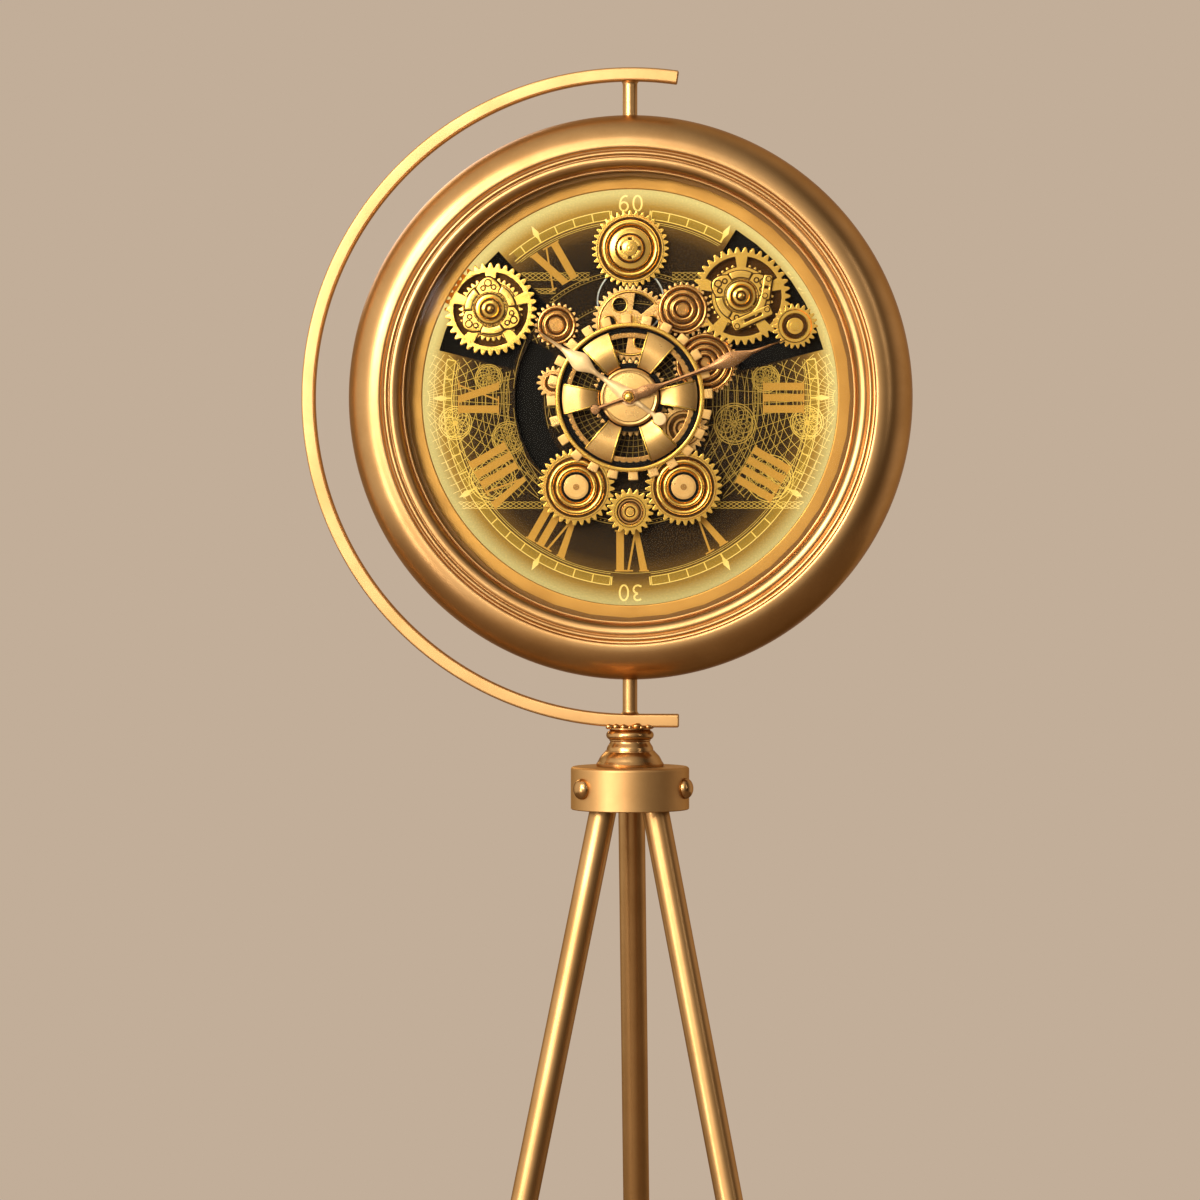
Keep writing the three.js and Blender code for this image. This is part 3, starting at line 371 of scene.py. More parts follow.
def add_node(tree: Tree, kind: str, settings: dict | None = None, links: dict | None = None) -> bpy.types.Node:
    """Adds a shader node with its settings and links.

    Args:
        tree: The node tree.
        kind: The node's type name without its first part, ShaderNode.
        settings: Values by attribute name, or by input name or number.
        links: Output sockets by input name or number.

    Returns:
        The new node.
    """
    node = tree.nodes.new("ShaderNode" + kind)
    for key, value in (settings or {}).items():
        if isinstance(key, str) and hasattr(node, key):
            setattr(node, key, value)
        else:
            node.inputs[key].default_value = value
    for key, socket in (links or {}).items():
        tree.links.new(socket, node.inputs[key])
    return node


def noise(tree: Tree, mm: Socket, size: float, detail: float = 2.0, roughness: float = 0.5) -> Socket:
    """Gives a cloudy pattern whose patches are about as wide as size, in millimetres."""
    return add_node(tree, "TexNoise", {"Scale": 1 / size, "Detail": detail, "Roughness": roughness},
                    {"Vector": mm}).outputs["Fac"]


def remap(tree: Tree, value: Socket, start: float, end: float, low: float = 0.0, high: float = 1.0,
          curve: str = "LINEAR") -> Socket:
    """Turns values from start to end into values from low to high, and holds them there beyond."""
    return add_node(tree, "MapRange", {"interpolation_type": curve, "From Min": start, "From Max": end,
                                       "To Min": low, "To Max": high}, {"Value": value}).outputs[0]


def blend(tree: Tree, share: Socket, first: int, second: int) -> Socket:
    """Mixes two sRGB hex colours."""
    return add_node(tree, "Mix", {"data_type": "RGBA", 6: linear(first), 7: linear(second)}, {0: share}).outputs[2]


def bumps(tree: Tree, height: Socket, strength: float, depth: float) -> Socket:
    """Gives the normal of a surface whose pattern stands out by a depth in millimetres."""
    return add_node(tree, "Bump", {"Strength": strength, "Distance": depth * MM}, {"Height": height}).outputs[0]


def radius_of(tree: Tree, first: Socket, second: Socket) -> Socket:
    """Gives the distance from an axis, from the two coordinates across it."""
    flat = add_node(tree, "CombineXYZ", links={0: first, 1: second}).outputs[0]
    return add_node(tree, "VectorMath", {"operation": "LENGTH"}, {0: flat}).outputs["Value"]


class Brush(Enum):
    """How the marks of a metal surface run."""

    NONE = "none"
    ROUND_DIAL = "turned about the dial's normal"
    ROUND_UP = "turned about the upright"


@dataclass(frozen=True)
class Finish:
    """A finish that pieces share: its material is made once and found again by name."""

    name: str
    slot: str
    centre: tuple[float, float, float] = (0.0, 0.0, 0.0)

    def material(self) -> bpy.types.Material:
        """Gives the finish's material, made on first use."""
        found = bpy.data.materials.get(self.name)
        if found:
            return found
        made = bpy.data.materials.new(self.name)
        made.use_nodes = True
        tree = made.node_tree
        tree.nodes.clear()
        output = add_node(tree, "OutputMaterial")
        tree.links.new(self.surface(tree), output.inputs["Surface"])
        return made

    def surface(self, tree: Tree) -> Socket:
        """Builds the shader and returns its socket."""
        raise NotImplementedError

    def millimetres(self, tree: Tree) -> Socket:
        """Gives the piece's own coordinates in millimetres, from the finish's centre."""
        own = add_node(tree, "TexCoord").outputs["Object"]
        moved = add_node(tree, "VectorMath", {"operation": "SUBTRACT", 1: self.centre}, {0: own}).outputs[0]
        return add_node(tree, "VectorMath", {"operation": "SCALE", "Scale": 1 / MM}, {0: moved}).outputs[0]

    def dress(self, piece: Piece) -> None:
        """Gives the finish to a whole piece."""
        piece.data.materials.clear()
        piece.data.materials.append(self.material())


@dataclass(frozen=True)
class MetalFinish(Finish):
    """Plated or lacquered metal with clouding, fine grain and, where it was turned, rings from the lathe."""

    base: int = 0xD9A150
    shade: int = 0xA86F2C
    roughness: float = 0.35
    spread: float = 0.08
    cloud: float = 45.0
    cloudiness: float = 0.5
    grain: float = 0.9
    depth: float = 0.02
    coat: float = 0.0
    fleck: float = 0.22
    edge: int = 0xFFFFFF
    brush: Brush = Brush.NONE
    brush_pitch: float = 1.3

    def surface(self, tree: Tree) -> Socket:
        """Builds the metal's shader."""
        mm = self.millimetres(tree)
        cloud = noise(tree, mm, self.cloud, 4.0, 0.6)
        marks = self.marks(tree, mm)
        clouded = remap(tree, cloud, 0.38, 0.7, 0.0, self.cloudiness)
        flecked = remap(tree, marks, 0.3, 0.75, 0.0, self.fleck)
        both = add_node(tree, "Math", {"operation": "ADD", "use_clamp": True}, {0: clouded, 1: flecked}).outputs[0]
        rough = remap(tree, cloud, 0.3, 0.7, self.roughness - self.spread, self.roughness + self.spread)
        return add_node(tree, "BsdfPrincipled",
                        {"Metallic": 1.0, "Coat Weight": self.coat, "Coat Roughness": 0.25,
                         "Specular Tint": linear(self.edge)},
                        {"Base Color": blend(tree, both, self.base, self.shade), "Roughness": rough,
                         "Normal": bumps(tree, marks, 0.6, self.depth)}).outputs[0]

    def marks(self, tree: Tree, mm: Socket) -> Socket:
        """Gives the pattern of the surface marks: grain, with rings from the lathe where a piece was turned."""
        grain = noise(tree, mm, self.grain)
        if self.brush is Brush.NONE:
            return grain
        apart = add_node(tree, "SeparateXYZ", links={0: mm}).outputs
        across = radius_of(tree, apart[0], apart[2] if self.brush is Brush.ROUND_DIAL else apart[1])
        lines = add_node(tree, "TexNoise", {"noise_dimensions": "1D", "Scale": 1 / self.brush_pitch, "Detail": 1.0},
                         {"W": across}).outputs["Fac"]
        return add_node(tree, "Mix", {"data_type": "FLOAT", 0: 0.65}, {2: grain, 3: lines}).outputs[0]


@dataclass(frozen=True)
class PlainFinish(Finish):
    """Paint, rubber or plastic: a soft-edged mottling of two close colours over a fine bump."""

    base: int = 0x17140F
    shade: int = 0x241F18
    roughness: float = 0.6
    grain: float = 0.8
    depth: float = 0.03
    sheen: float = 0.4

    def surface(self, tree: Tree) -> Socket:
        """Builds the shader."""
        grain = noise(tree, self.millimetres(tree), self.grain, 3.0)
        rough = remap(tree, grain, 0.0, 1.0, self.roughness - 0.08, self.roughness + 0.08)
        return add_node(tree, "BsdfPrincipled", {"Specular IOR Level": self.sheen},
                        {"Base Color": blend(tree, grain, self.base, self.shade), "Roughness": rough,
                         "Normal": bumps(tree, grain, 0.5, self.depth)}).outputs[0]


@dataclass(frozen=True)
class GlassFinish(Finish):
    """Flat picture glass with a coating against glare: lamps pass it, and it keeps a very faint reflection."""

    def surface(self, tree: Tree) -> Socket:
        """Builds the shader, with a faint waviness of the float bath."""
        bump = bumps(tree, noise(tree, self.millimetres(tree), 90.0, 1.0), 0.1, 0.05)
        fresnel = add_node(tree, "Fresnel", {"IOR": 1.12}, {"Normal": bump}).outputs[0]
        clear = add_node(tree, "BsdfTransparent", {"Color": linear(0xFBFDFC)}).outputs[0]
        shine = add_node(tree, "BsdfGlossy", {"Roughness": 0.03}, {"Normal": bump}).outputs[0]
        return add_node(tree, "MixShader", links={0: fresnel, 1: clear, 2: shine}).outputs[0]


@dataclass(frozen=True)
class LitFinish(Finish):
    """Silicone-covered light strip that glows warm."""

    colour: int = 0xFFECC8
    diode: int = 0xFFF6E0
    strength: float = 5.0

    def surface(self, tree: Tree) -> Socket:
        """Builds the shader, brighter at each diode."""
        tint = blend(tree, noise(tree, self.millimetres(tree), 8.0), self.colour, self.diode)
        return add_node(tree, "BsdfPrincipled", {"Roughness": 0.5, "Emission Strength": self.strength},
                        {"Base Color": tint, "Emission Color": tint}).outputs[0]


@dataclass(frozen=True)
class DialFinish(Finish):
    """Printed dial sheet: dark ground with fine gold speckle and a painted glow inwards from the strip at its rim."""

    ground: int = 0x120C06
    speck: int = 0x644620
    glow: tuple[tuple[float, int], ...] = (
        (108.0, 0x000000), (132.0, 0x2C1C08), (148.0, 0x7A5420), (158.0, 0xC8953C), (168.0, 0xF8DC88))
    strength: float = 1.15
    specks: float = 0.72

    def surface(self, tree: Tree) -> Socket:
        """Builds the shader. Its painted glow falls off inwards from the strip, and a little downwards."""
        mm = self.millimetres(tree)
        fine = noise(tree, mm, 1.5, 2.0, 0.7)
        dots = remap(tree, fine, 0.45, 0.72, 0.0, self.specks)
        patches = remap(tree, noise(tree, mm, 40.0, 3.0), 0.25, 0.75, 0.45, 1.0)
        worn = add_node(tree, "Math", {"operation": "MULTIPLY", "use_clamp": True}, {0: dots, 1: patches}).outputs[0]
        apart = add_node(tree, "SeparateXYZ", links={0: mm}).outputs
        painted_rim_glow = self.paint_rim_glow(tree, radius_of(tree, apart[0], apart[2]))
        # Painted shade: the painted glow dims towards the bottom of the dial.
        lower = remap(tree, apart[2], -170.0, 60.0, 0.72, 1.0)
        speckled = remap(tree, worn, 0.0, 1.0, 0.8, 1.0)
        level = add_node(tree, "Math", {"operation": "MULTIPLY"}, {0: lower, 1: speckled}).outputs[0]
        tint = add_node(tree, "VectorMath", {"operation": "SCALE"}, {0: painted_rim_glow, "Scale": level}).outputs[0]
        return add_node(tree, "BsdfPrincipled",
                        {"Roughness": 0.55, "Specular IOR Level": 0.06, "Emission Strength": self.strength},
                        {"Base Color": blend(tree, worn, self.ground, self.speck), "Emission Color": tint,
                         "Normal": bumps(tree, fine, 0.4, 0.05)}).outputs[0]

    def paint_rim_glow(self, tree: Tree, radius: Socket) -> Socket:
        """Gives the painted glow on the sheet by its distance from the middle, from the finish's steps of glow."""
        first, last = self.glow[0][0], self.glow[-1][0]
        ramp = add_node(tree, "ValToRGB", links={0: remap(tree, radius, first, last)})
        steps = ramp.color_ramp.elements
        while len(steps) < len(self.glow):
            steps.new(0.5)
        for step, (reach, colour) in zip(steps, self.glow):
            step.position = (reach - first) / (last - first)
            step.color = linear(colour)
        return ramp.outputs[0]


# Antique gold lacquer over steel: satin, slightly clouded, with a fine metal fleck that softens its highlights.
ANTIQUE_GOLD = MetalFinish("antique_gold_lacquer", "antique_gold", base=0xD2A56C, shade=0xAA7C44, roughness=0.34,
                           spread=0.03, cloud=60.0, grain=2.4, depth=0.0012, fleck=0.06, coat=0.25, edge=0xB89A78)
# The bent bar and head cover: a lighter lacquer copy as painted light, rougher, for a flat light face and soft
# gradients.
LIGHTER_GOLD = MetalFinish("lighter_gold_copy", "antique_gold", base=0xD8AC72, shade=0xB88A52, roughness=0.46,
                       spread=0.02, cloud=60.0, grain=2.4, depth=0.0012, fleck=0.06, coat=0.1, edge=0xB89A78)
# The same lacquer on turned pieces shows faint rings from the lathe.
TURNED_GOLD = MetalFinish("turned_gold_lacquer", "antique_gold", base=0xD2A56C, shade=0xA87A42, roughness=0.23,
                          spread=0.03, cloud=30.0, grain=1.6, depth=0.0015, fleck=0.08, coat=0.3, edge=0xB89A78,
                          brush=Brush.ROUND_UP)
# Gold plate on polished gear plates: clean bright edges and quick highlights.
POLISHED_GOLD = MetalFinish("polished_gold_plate", "polished_gold", base=0xF2BE5C, shade=0xC08632, roughness=0.18,
                            spread=0.03, cloud=12.0, cloudiness=0.3, grain=1.2, depth=0.002, fleck=0.12)
# Gold plate on lathe-cut drums: rings of cutting marks give the fan-shaped gleam.
SPUN_GOLD = MetalFinish("spun_gold_plate", "polished_gold", base=0xF4C062, shade=0xC48C38, roughness=0.17,
                        spread=0.02, cloud=10.0, cloudiness=0.25, grain=1.2, depth=0.002, fleck=0.12,
                        brush=Brush.ROUND_DIAL)
# Satin gold on the wheel's blades and hub: blasted, so broad soft gradients.
SATIN_GOLD = MetalFinish("satin_gold_plate", "satin_gold", base=0xE4B270, shade=0xC08C4C, roughness=0.3,
                         spread=0.05, cloud=14.0, grain=1.0, depth=0.012)
# Painted liner around the dial: flat and even, duller than the plated pieces.
LINER_GOLD = MetalFinish("liner_gold_paint", "satin_gold", base=0xC8924A, shade=0xAA783A, roughness=0.45,
                         spread=0.05, cloud=50.0, grain=0.8, depth=0.015)
# Rose-toned bronze plate on hands and small gears: browner in shade, with soft wear.
ROSE_BRONZE = MetalFinish("rose_bronze_plate", "copper_gold", base=0xDDAA68, shade=0x9A6A34, roughness=0.27,
                          spread=0.06, cloud=16.0, grain=1.4, depth=0.006)
# The hour hand is the palest plated piece, the minute hand a browner copper.
PALE_ROSE = MetalFinish("pale_rose_plate", "copper_gold", base=0xF0C894, shade=0xC8935C, roughness=0.34,
                        spread=0.03, cloud=16.0, grain=1.4, depth=0.003, fleck=0.1)
COPPER = MetalFinish("brushed_copper_plate", "copper_gold", base=0xA87850, shade=0x6A4426, roughness=0.25,
                     spread=0.04, cloud=14.0, grain=1.4, depth=0.003, fleck=0.1)
# Dark bronze plate on the stepped drums of the side clusters.
DARK_BRONZE = MetalFinish("dark_bronze_plate", "copper_gold", base=0xD8A05C, shade=0x96602A, roughness=0.16,
                          spread=0.04, cloud=12.0, cloudiness=0.35, grain=1.2, depth=0.004, fleck=0.12,
                          brush=Brush.ROUND_DIAL)
# Painted shade: nearly black brown in grooves and gaps and round the bridges, which sets off the bright rings.
PAINTED_SHADE = MetalFinish("painted_shade_brown", "copper_gold", base=0x4A2E14, shade=0x2A1808, roughness=0.45,
                        cloud=8.0, grain=0.8, depth=0.01)
# Free-cutting brass, turned and left bare.
TURNED_BRASS = MetalFinish("turned_brass", "bush_brass", base=0xD8AC58, shade=0xA87C34, roughness=0.28,
                           cloud=8.0, grain=0.5, brush=Brush.ROUND_DIAL)
# Zinc-plated steel of screws, motor can and cell.
ZINC_STEEL = MetalFinish("zinc_plated_steel", "zinc_steel", base=0xC4C2BC, shade=0x96938C, roughness=0.32,
                         cloud=9.0, grain=0.6)
# Matt black spray paint on pressed steel: a fine dry texture that swallows light.
BLACK_PAINT = PlainFinish("matt_black_paint", "black_paint", base=0x0B0907, shade=0x17130F, roughness=0.72,
                          sheen=0.08)
# The same paint on the back cover, baked, so that it keeps a dull shine.
BAKED_BLACK = PlainFinish("baked_black_paint", "black_paint", base=0x1C1A18, shade=0x292623, roughness=0.42,
                          grain=1.2)
# Moulded rubber of feet and gasket.
RUBBER = PlainFinish("moulded_rubber", "rubber", base=0x1B1918, shade=0x292624, roughness=0.8, grain=1.4)
# Foam strip under the glass, brown like the bezel so that it doesn't show.
GASKET_FOAM = PlainFinish("gasket_foam", "rubber", base=0x7A5122, shade=0x8E6230, roughness=0.85, grain=1.4)
# Moulded ABS with a spark-eroded texture.
BLACK_ABS = PlainFinish("moulded_abs", "black_plastic", base=0x1D1C1B, shade=0x2B2A29, roughness=0.46, grain=0.6)
FLOAT_GLASS = GlassFinish("float_glass", "clear_glass")
LIT_STRIP = LitFinish("light_strip", "warm_light")
DIAL_GROUND = DialFinish("printed_dial_ground", "dial_paint", centre=tuple(AXIS))
# Numerals are printed in gold under the same painted glow from the rim.
GOLD_PRINT = DialFinish("gold_print", "dial_paint", ground=0xB88838, speck=0xCC9C4A, specks=0.7, glow=(
    (112.0, 0x0A0602), (140.0, 0x2C1E08), (152.0, 0x7A5A20), (160.0, 0xB0903C), (168.0, 0xD0B058)))
# The band under the minute track is printed in an olive brown whose painted glow keeps darker than the rim's.
BAND_PRINT = DialFinish("olive_band_print", "dial_paint", ground=0x6A5220, speck=0x9C7A34, specks=0.5, glow=(
    (118.0, 0x000000), (140.0, 0x241A08), (152.0, 0x8C6C20), (168.0, 0xB8983C)))
# Fine lines are printed in a brighter gold, and a stronger painted glow from the rim picks them out.
LINE_PRINT = DialFinish("gold_line_print", "dial_paint", ground=0xA08038, speck=0xBC9A4C, specks=0.7, glow=(
    (50.0, 0x140E04), (95.0, 0x3C2C0C), (130.0, 0xA08030), (150.0, 0xE8C45C), (168.0, 0xFFEEA4)))


def fit_on(piece: Piece, body: str, finish: Finish, *nodes: str) -> None:
    """Dresses a new piece, lets it ride and says which CAD nodes it stands for.

    Args:
        piece: The new piece.
        body: The CAD body that it rides on.
        finish: Its finish.
        nodes: CAD nodes that it replaces.
    """
    finish.dress(piece)
    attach(piece, body)
    if nodes:
        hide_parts(*nodes)
    log.info("%s rides on %s", piece.name, body)


@dataclass(frozen=True)
class Spot:
    """A place on the clock and the body that the pieces made there ride on."""

    place: Matrix
    body: str = "case"

    def fit(self, name: str, shape: Shape, finish: Finish, *nodes: str, sharp: float = 32.0) -> None:
        """Makes and dresses a piece from a mesh.

        Args:
            name: The piece's name.
            shape: Its mesh, in millimetres.
            finish: Its finish.
            nodes: CAD nodes that it replaces.
            sharp: Edges over this angle in degrees stay sharp.
        """
        fit_on(as_piece(name, shape, self.place, sharp), self.body, finish, *nodes)

    def turn(self, name: str, profile: Loop, finish: Finish, *nodes: str, segments: int = 96,
             sharp: float = 32.0) -> None:
        """Makes and dresses a turned piece.

        Args:
            name: The piece's name.
            profile: Its profile, as add_turned takes it.
            finish: Its finish.
            nodes: CAD nodes that it replaces.
            segments: Steps round the axis.
            sharp: Edges over this angle in degrees stay sharp.
        """
        fit_on(turned(name, profile, self.place, segments, sharp), self.body, finish, *nodes)

    def grooves(self, name: str, grooves: list[tuple[float, float, float]]) -> None:
        """Makes nearly black rings of painted shade at the bottoms of turned grooves.

        Args:
            name: The piece's name.
            grooves: Inner radius, outer radius and depth of each groove.
        """
        shape = bmesh.new()
        for inner, outer, depth in grooves:
            add_turned(shape, band(inner, outer, depth - 0.2, depth), 80)
        self.fit(name, shape, PAINTED_SHADE)


STAND = Spot(on_stand(), "stand")
DIAL = Spot(on_dial())
WHEEL = Spot(on_dial(), "centre_wheel")


def keep_node(node: str, finish: Finish, edge: float = 0.3) -> None:
    """Dresses a CAD node that keeps its mesh, and softens its edges with modifiers.

    Args:
        node: The node's name.
        finish: Its finish.
        edge: Width of its rounded edges; 0 leaves them.
    """
    piece = frame["nodes"][node]
    finish.dress(piece)
    if edge:
        weld = piece.modifiers.new("weld", "WELD")
        weld.merge_threshold = 1e-5
        bevel = piece.modifiers.new("edges", "BEVEL")
        bevel.width = edge * MM
        bevel.segments = 2
        bevel.limit_method = "ANGLE"
        bevel.angle_limit = math.radians(35)
        bevel.harden_normals = True
    log.info("%s keeps its mesh", node)


# Studio


@dataclass
class Studio:
    """Floor, soft lamps, pale surroundings and the camera of the photograph."""

    lens: float = 126.4
    distance: float = 3450.0
    azimuth: float = 3.0
    eye_height: float = 1115.0
    shift_x: float = -0.025
    shift_y: float = -0.0517
    floor_radius: float = 2600.0
    wall: int = 0xC2AE99
    bright_side: int = 0xF4EADC
    dim_side: int = 0x3A2C22
    window_way: tuple[float, float, float] = (-0.8, -0.5, 0.33)
    wall_way: tuple[float, float, float] = (0.45, 0.89, 0.0)
    floor: int = 0x6A5846
    floor_shade: int = 0x7C6A56

    def build(self) -> None:
        """Makes everything that isn't the clock."""
        self.camera()
        self.surroundings()
        self.ground()
        self.lamps()

    def camera(self) -> None:
        """Places a level camera a little to the right of straight ahead."""
        data = bpy.data.cameras.new("camera")
        data.lens = self.lens
        data.sensor_width = 36.0
        data.shift_x, data.shift_y = self.shift_x, self.shift_y
        camera = bpy.data.objects.new("camera", data)
        bpy.context.scene.collection.objects.link(camera)
        turn = math.radians(self.azimuth)
        camera.location = (AXIS.x + self.distance * MM * math.sin(turn),
                           AXIS.y - self.distance * MM * math.cos(turn), self.eye_height * MM)
        camera.rotation_euler = (math.pi / 2, 0, turn)
        data.clip_end = 50
        bpy.context.scene.camera = camera

    def surroundings(self) -> None:
        """Gives the world the pale wall colour, brighter on the window's side and dimmer opposite to it."""
        world = bpy.data.worlds.new("studio")
        bpy.context.scene.world = world
        world.use_nodes = True
        tree = world.node_tree
        tree.nodes.clear()
        room = blend(tree, self.facing(tree, self.window_way, -0.3, 0.85), self.dim_side, self.bright_side)
        ahead = self.facing(tree, self.wall_way, 0.1, 0.8)
        colour = add_node(tree, "Mix", {"data_type": "RGBA", 7: linear(self.wall)}, {0: ahead, 6: room}).outputs[2]
        back = add_node(tree, "Background", {"Strength": 1.0}, {"Color": colour})
        add_node(tree, "OutputWorld", links={0: back.outputs[0]})

    def facing(self, tree: Tree, way: tuple[float, float, float], start: float, end: float) -> Socket:
        """Gives how far the view looks one way, eased from 0 at one cosine to 1 at another.

        Args:
            tree: The world's node tree.
            way: The direction that counts.
            start: Cosine up to which it is 0.
            end: Cosine from which it is 1.

        Returns:
            The socket with the share.
        """
        view = add_node(tree, "TexCoord").outputs["Generated"]
        cosine = add_node(tree, "VectorMath", {"operation": "DOT_PRODUCT", 1: way}, {0: view}).outputs["Value"]
        return remap(tree, cosine, start, end, curve="SMOOTHSTEP")

    def ground(self) -> None:
        """Lays a round brown floor."""
        shape = bmesh.new()
        add_turned(shape, band(0, self.floor_radius, -20, 0))
        floor = as_piece("floor", shape, on_stand())
        PlainFinish("studio_floor", "none", base=self.floor, shade=self.floor_shade, grain=5.0).dress(floor)

    def lamps(self) -> None:
        """Hangs soft lamps: from the left, from ahead, a strip at the right, low down, from above and from behind."""
        target = AXIS + Vector((0, 0, -0.15))
        for name, place, width, height, power, colour in (
            ("key", (-1.85, -2.6, 2.3), 0.8, 1.7, 69.0, 0xFFF2E2),
            ("front", (-0.9, -3.05, 1.8), 1.0, 0.7, 29.0, 0xFFF8EE),
            ("strip", (2.5, -1.9, 2.0), 0.22, 1.8, 4.0, 0xFFF4E6),
            ("low", (-2.1, -2.3, 0.55), 0.6, 1.0, 15.0, 0xFFF4E6),
            ("top", (-0.5, -2.4, 2.9), 1.5, 0.9, 9.0, 0xFFFAF2),
            ("back", (-1.2, 2.8, 2.4), 1.2, 1.2, 16.0, 0xFFF6EA),
        ):
            data = bpy.data.lights.new(name, "AREA")
            data.shape = "RECTANGLE"
            data.size, data.size_y = width, height
            data.energy = power
            data.color = linear(colour)[:3]
            lamp = bpy.data.objects.new(name, data)
            bpy.context.scene.collection.objects.link(lamp)
            lamp.location = place
            lamp.rotation_euler = (target - Vector(place)).to_track_quat("-Z", "Y").to_euler()


# Stand


@dataclass
class Stand:
    """Three legs with rubber feet, the head with its neck and bolts, the C-shaped arm and the two pins."""

    dial_height: float = 1230.0
    arm_outer: float = 270.0
    arm_thickness: float = 11.0
    arm_depth: float = 12.0
    arm_tail: float = 40.0
    arm_edge: float = 2.0
    pin_radius: float = 6.0
    cover_radius: float = 48.5
    cover_bottom: float = 893.0
    cover_top: float = 928.0
    neck_bottom: float = 928.3
    neck_top: float = 959.7
    leg_radius: float = 11.0
    leg_wall: float = 1.5
    leg_tilt: float = 12.8
    leg_inset: float = 24.6
    leg_end: float = 943.6
    foot_radius: float = 13.5
    foot_length: float = 26.0
    leg_azimuths: dict[str, float] = field(
        default_factory=lambda: {"front_left": -60.0, "front_right": 60.0, "rear": 180.0})
    bolt_azimuths: dict[str, float] = field(
        default_factory=lambda: {"left": -50.0, "right": 70.0, "rear": 190.0})
    bolt_height: float = 911.0

    def build(self) -> None:
        """Makes and dresses the stand."""
        for name, azimuth in self.leg_azimuths.items():
            self.leg(name, azimuth)
        self.head()
        self.neck()
        for name, azimuth in self.bolt_azimuths.items():
            self.bolt(name, azimuth)
        self.arm()
        self.pins()
        self.welds()
        keep_node("leg_hub", BLACK_PAINT, 0.5)
        keep_node("tie_bolt", ZINC_STEEL, 0.3)

    def leg_place(self, azimuth: float) -> Matrix:
        """Gives the matrix of a leg: its axis is z, from the floor upwards."""
        turn = math.radians(azimuth)
        outward = Vector((math.sin(turn), -math.cos(turn), 0))
        lean = Matrix.Rotation(math.radians(self.leg_tilt), 4, -Vector((0, 0, 1)).cross(outward))
        reach = self.leg_inset + self.cover_bottom * math.tan(math.radians(self.leg_tilt))
        return on_stand() @ Matrix.Translation(outward * reach) @ lean

    def leg(self, name: str, azimuth: float) -> None:
        """Makes a tube leg and its rubber foot, cut flat where it meets the floor."""
        place = self.leg_place(azimuth)
        start = self.foot_radius * math.tan(math.radians(self.leg_tilt)) + 5
        tube = band(self.leg_radius - self.leg_wall, self.leg_radius, start, self.leg_end - 3)
        Spot(place, "stand").turn(f"leg_tube_{name}", tube, ANTIQUE_GOLD, f"leg_{name}", segments=64)
        r, top, bore = self.foot_radius, self.foot_length, self.leg_radius + 0.1
        shape = bmesh.new()
        add_turned(shape, [(0, -8), (r - 0.8, -8), (r, 0), (r, top * 0.35), (r - 0.5, top * 0.42),
                           (r - 0.5, top * 0.5), (r, top * 0.57), (r, top - 1.6), (r - 0.6, top - 0.5),
                           (r - 1.7, top), (bore, top), (bore, top - 2), (0, top - 2)], 64)
        shape.transform(place)
        geometry = shape.verts[:] + shape.edges[:] + shape.faces[:]
        cut = bmesh.ops.bisect_plane(shape, geom=geometry, plane_co=(0, 0, 1e-5), plane_no=(0, 0, -1),
                                     clear_outer=True)
        edges = [item for item in cut["geom_cut"] if isinstance(item, bmesh.types.BMEdge)]
        bmesh.ops.edgeloop_fill(shape, edges=edges)
        shape.transform(Matrix.Scale(1 / MM, 4))
        Spot(Matrix.Scale(MM, 4), "stand").fit(f"rubber_foot_{name}", shape, RUBBER, f"foot_{name}")

    def head(self) -> None:
        """Makes the head cover, a shallow cup with a rolled top edge and a trimmed lower edge."""
        r, low, top = self.cover_radius, self.cover_bottom, self.cover_top
        rolled = arc(r - 2.5, top - 2.5, 2.5, 90, 0, 8)
        rim = [(r, low + 0.7), (r - 0.7, low), (r - 1.4, low), (r - 2, low + 0.5)]
        inner = [(r - 2, top - 3.6), (r - 2.8, top - 3), (4.4, top - 3), (4.4, top)]
        STAND.turn("head_cover", [*rolled, *rim, *inner], LIGHTER_GOLD, "hub_cover", segments=128)

    def neck(self) -> None:
        """Makes the turned neck: flared foot with a small step, waist, bead and collar."""
        low = self.neck_bottom
        outline = [(0, low), (27.5, low), (27.6, low + 2.2), (26.6, low + 3.6)]
        outline += eased([(26.2, low + 4.2), (24.0, low + 8.2), (20.4, low + 12.0)], 5)
        outline += [(20.2, low + 12.6), (19.3, low + 12.9)]
        outline += eased([(19.2, low + 13.4), (18.7, low + 15.6), (16.9, low + 18.6), (16.3, low + 20.2)], 4)
        outline += [(16.9, low + 20.9)] + arc(15.6, low + 25.4, 3.9, -68, 66, 12)
        outline += [(16.2, low + 29.6), (17.6, low + 30.4), (17.6, self.neck_top - 0.05), (0, self.neck_top - 0.05)]
        STAND.turn("turned_neck", outline, TURNED_GOLD, "neck", sharp=24)

    def bolt(self, name: str, azimuth: float) -> None:
        """Makes a dome-headed bolt that seats on the cover."""
        place = (on_stand() @ Matrix.Translation((0, 0, self.bolt_height))
                 @ Matrix.Rotation(math.radians(azimuth), 4, "Z") @ Matrix.Rotation(math.pi / 2, 4, "X"))
        seat = self.cover_radius - 0.4
        shank = [(0, seat - 10), (3, seat - 10), (3, seat - 1), (8.1, seat - 1), (8.5, seat + 0.2)]
        dome = arc(0, seat + 0.9, 8.5, 0, 90, 14, 6.2)[:-1]
        Spot(place, "stand").turn(f"dome_bolt_{name}", [*shank, *dome, (0, seat + 7.1)], TURNED_GOLD,
                                  f"cover_bolt_{name}", segments=48)

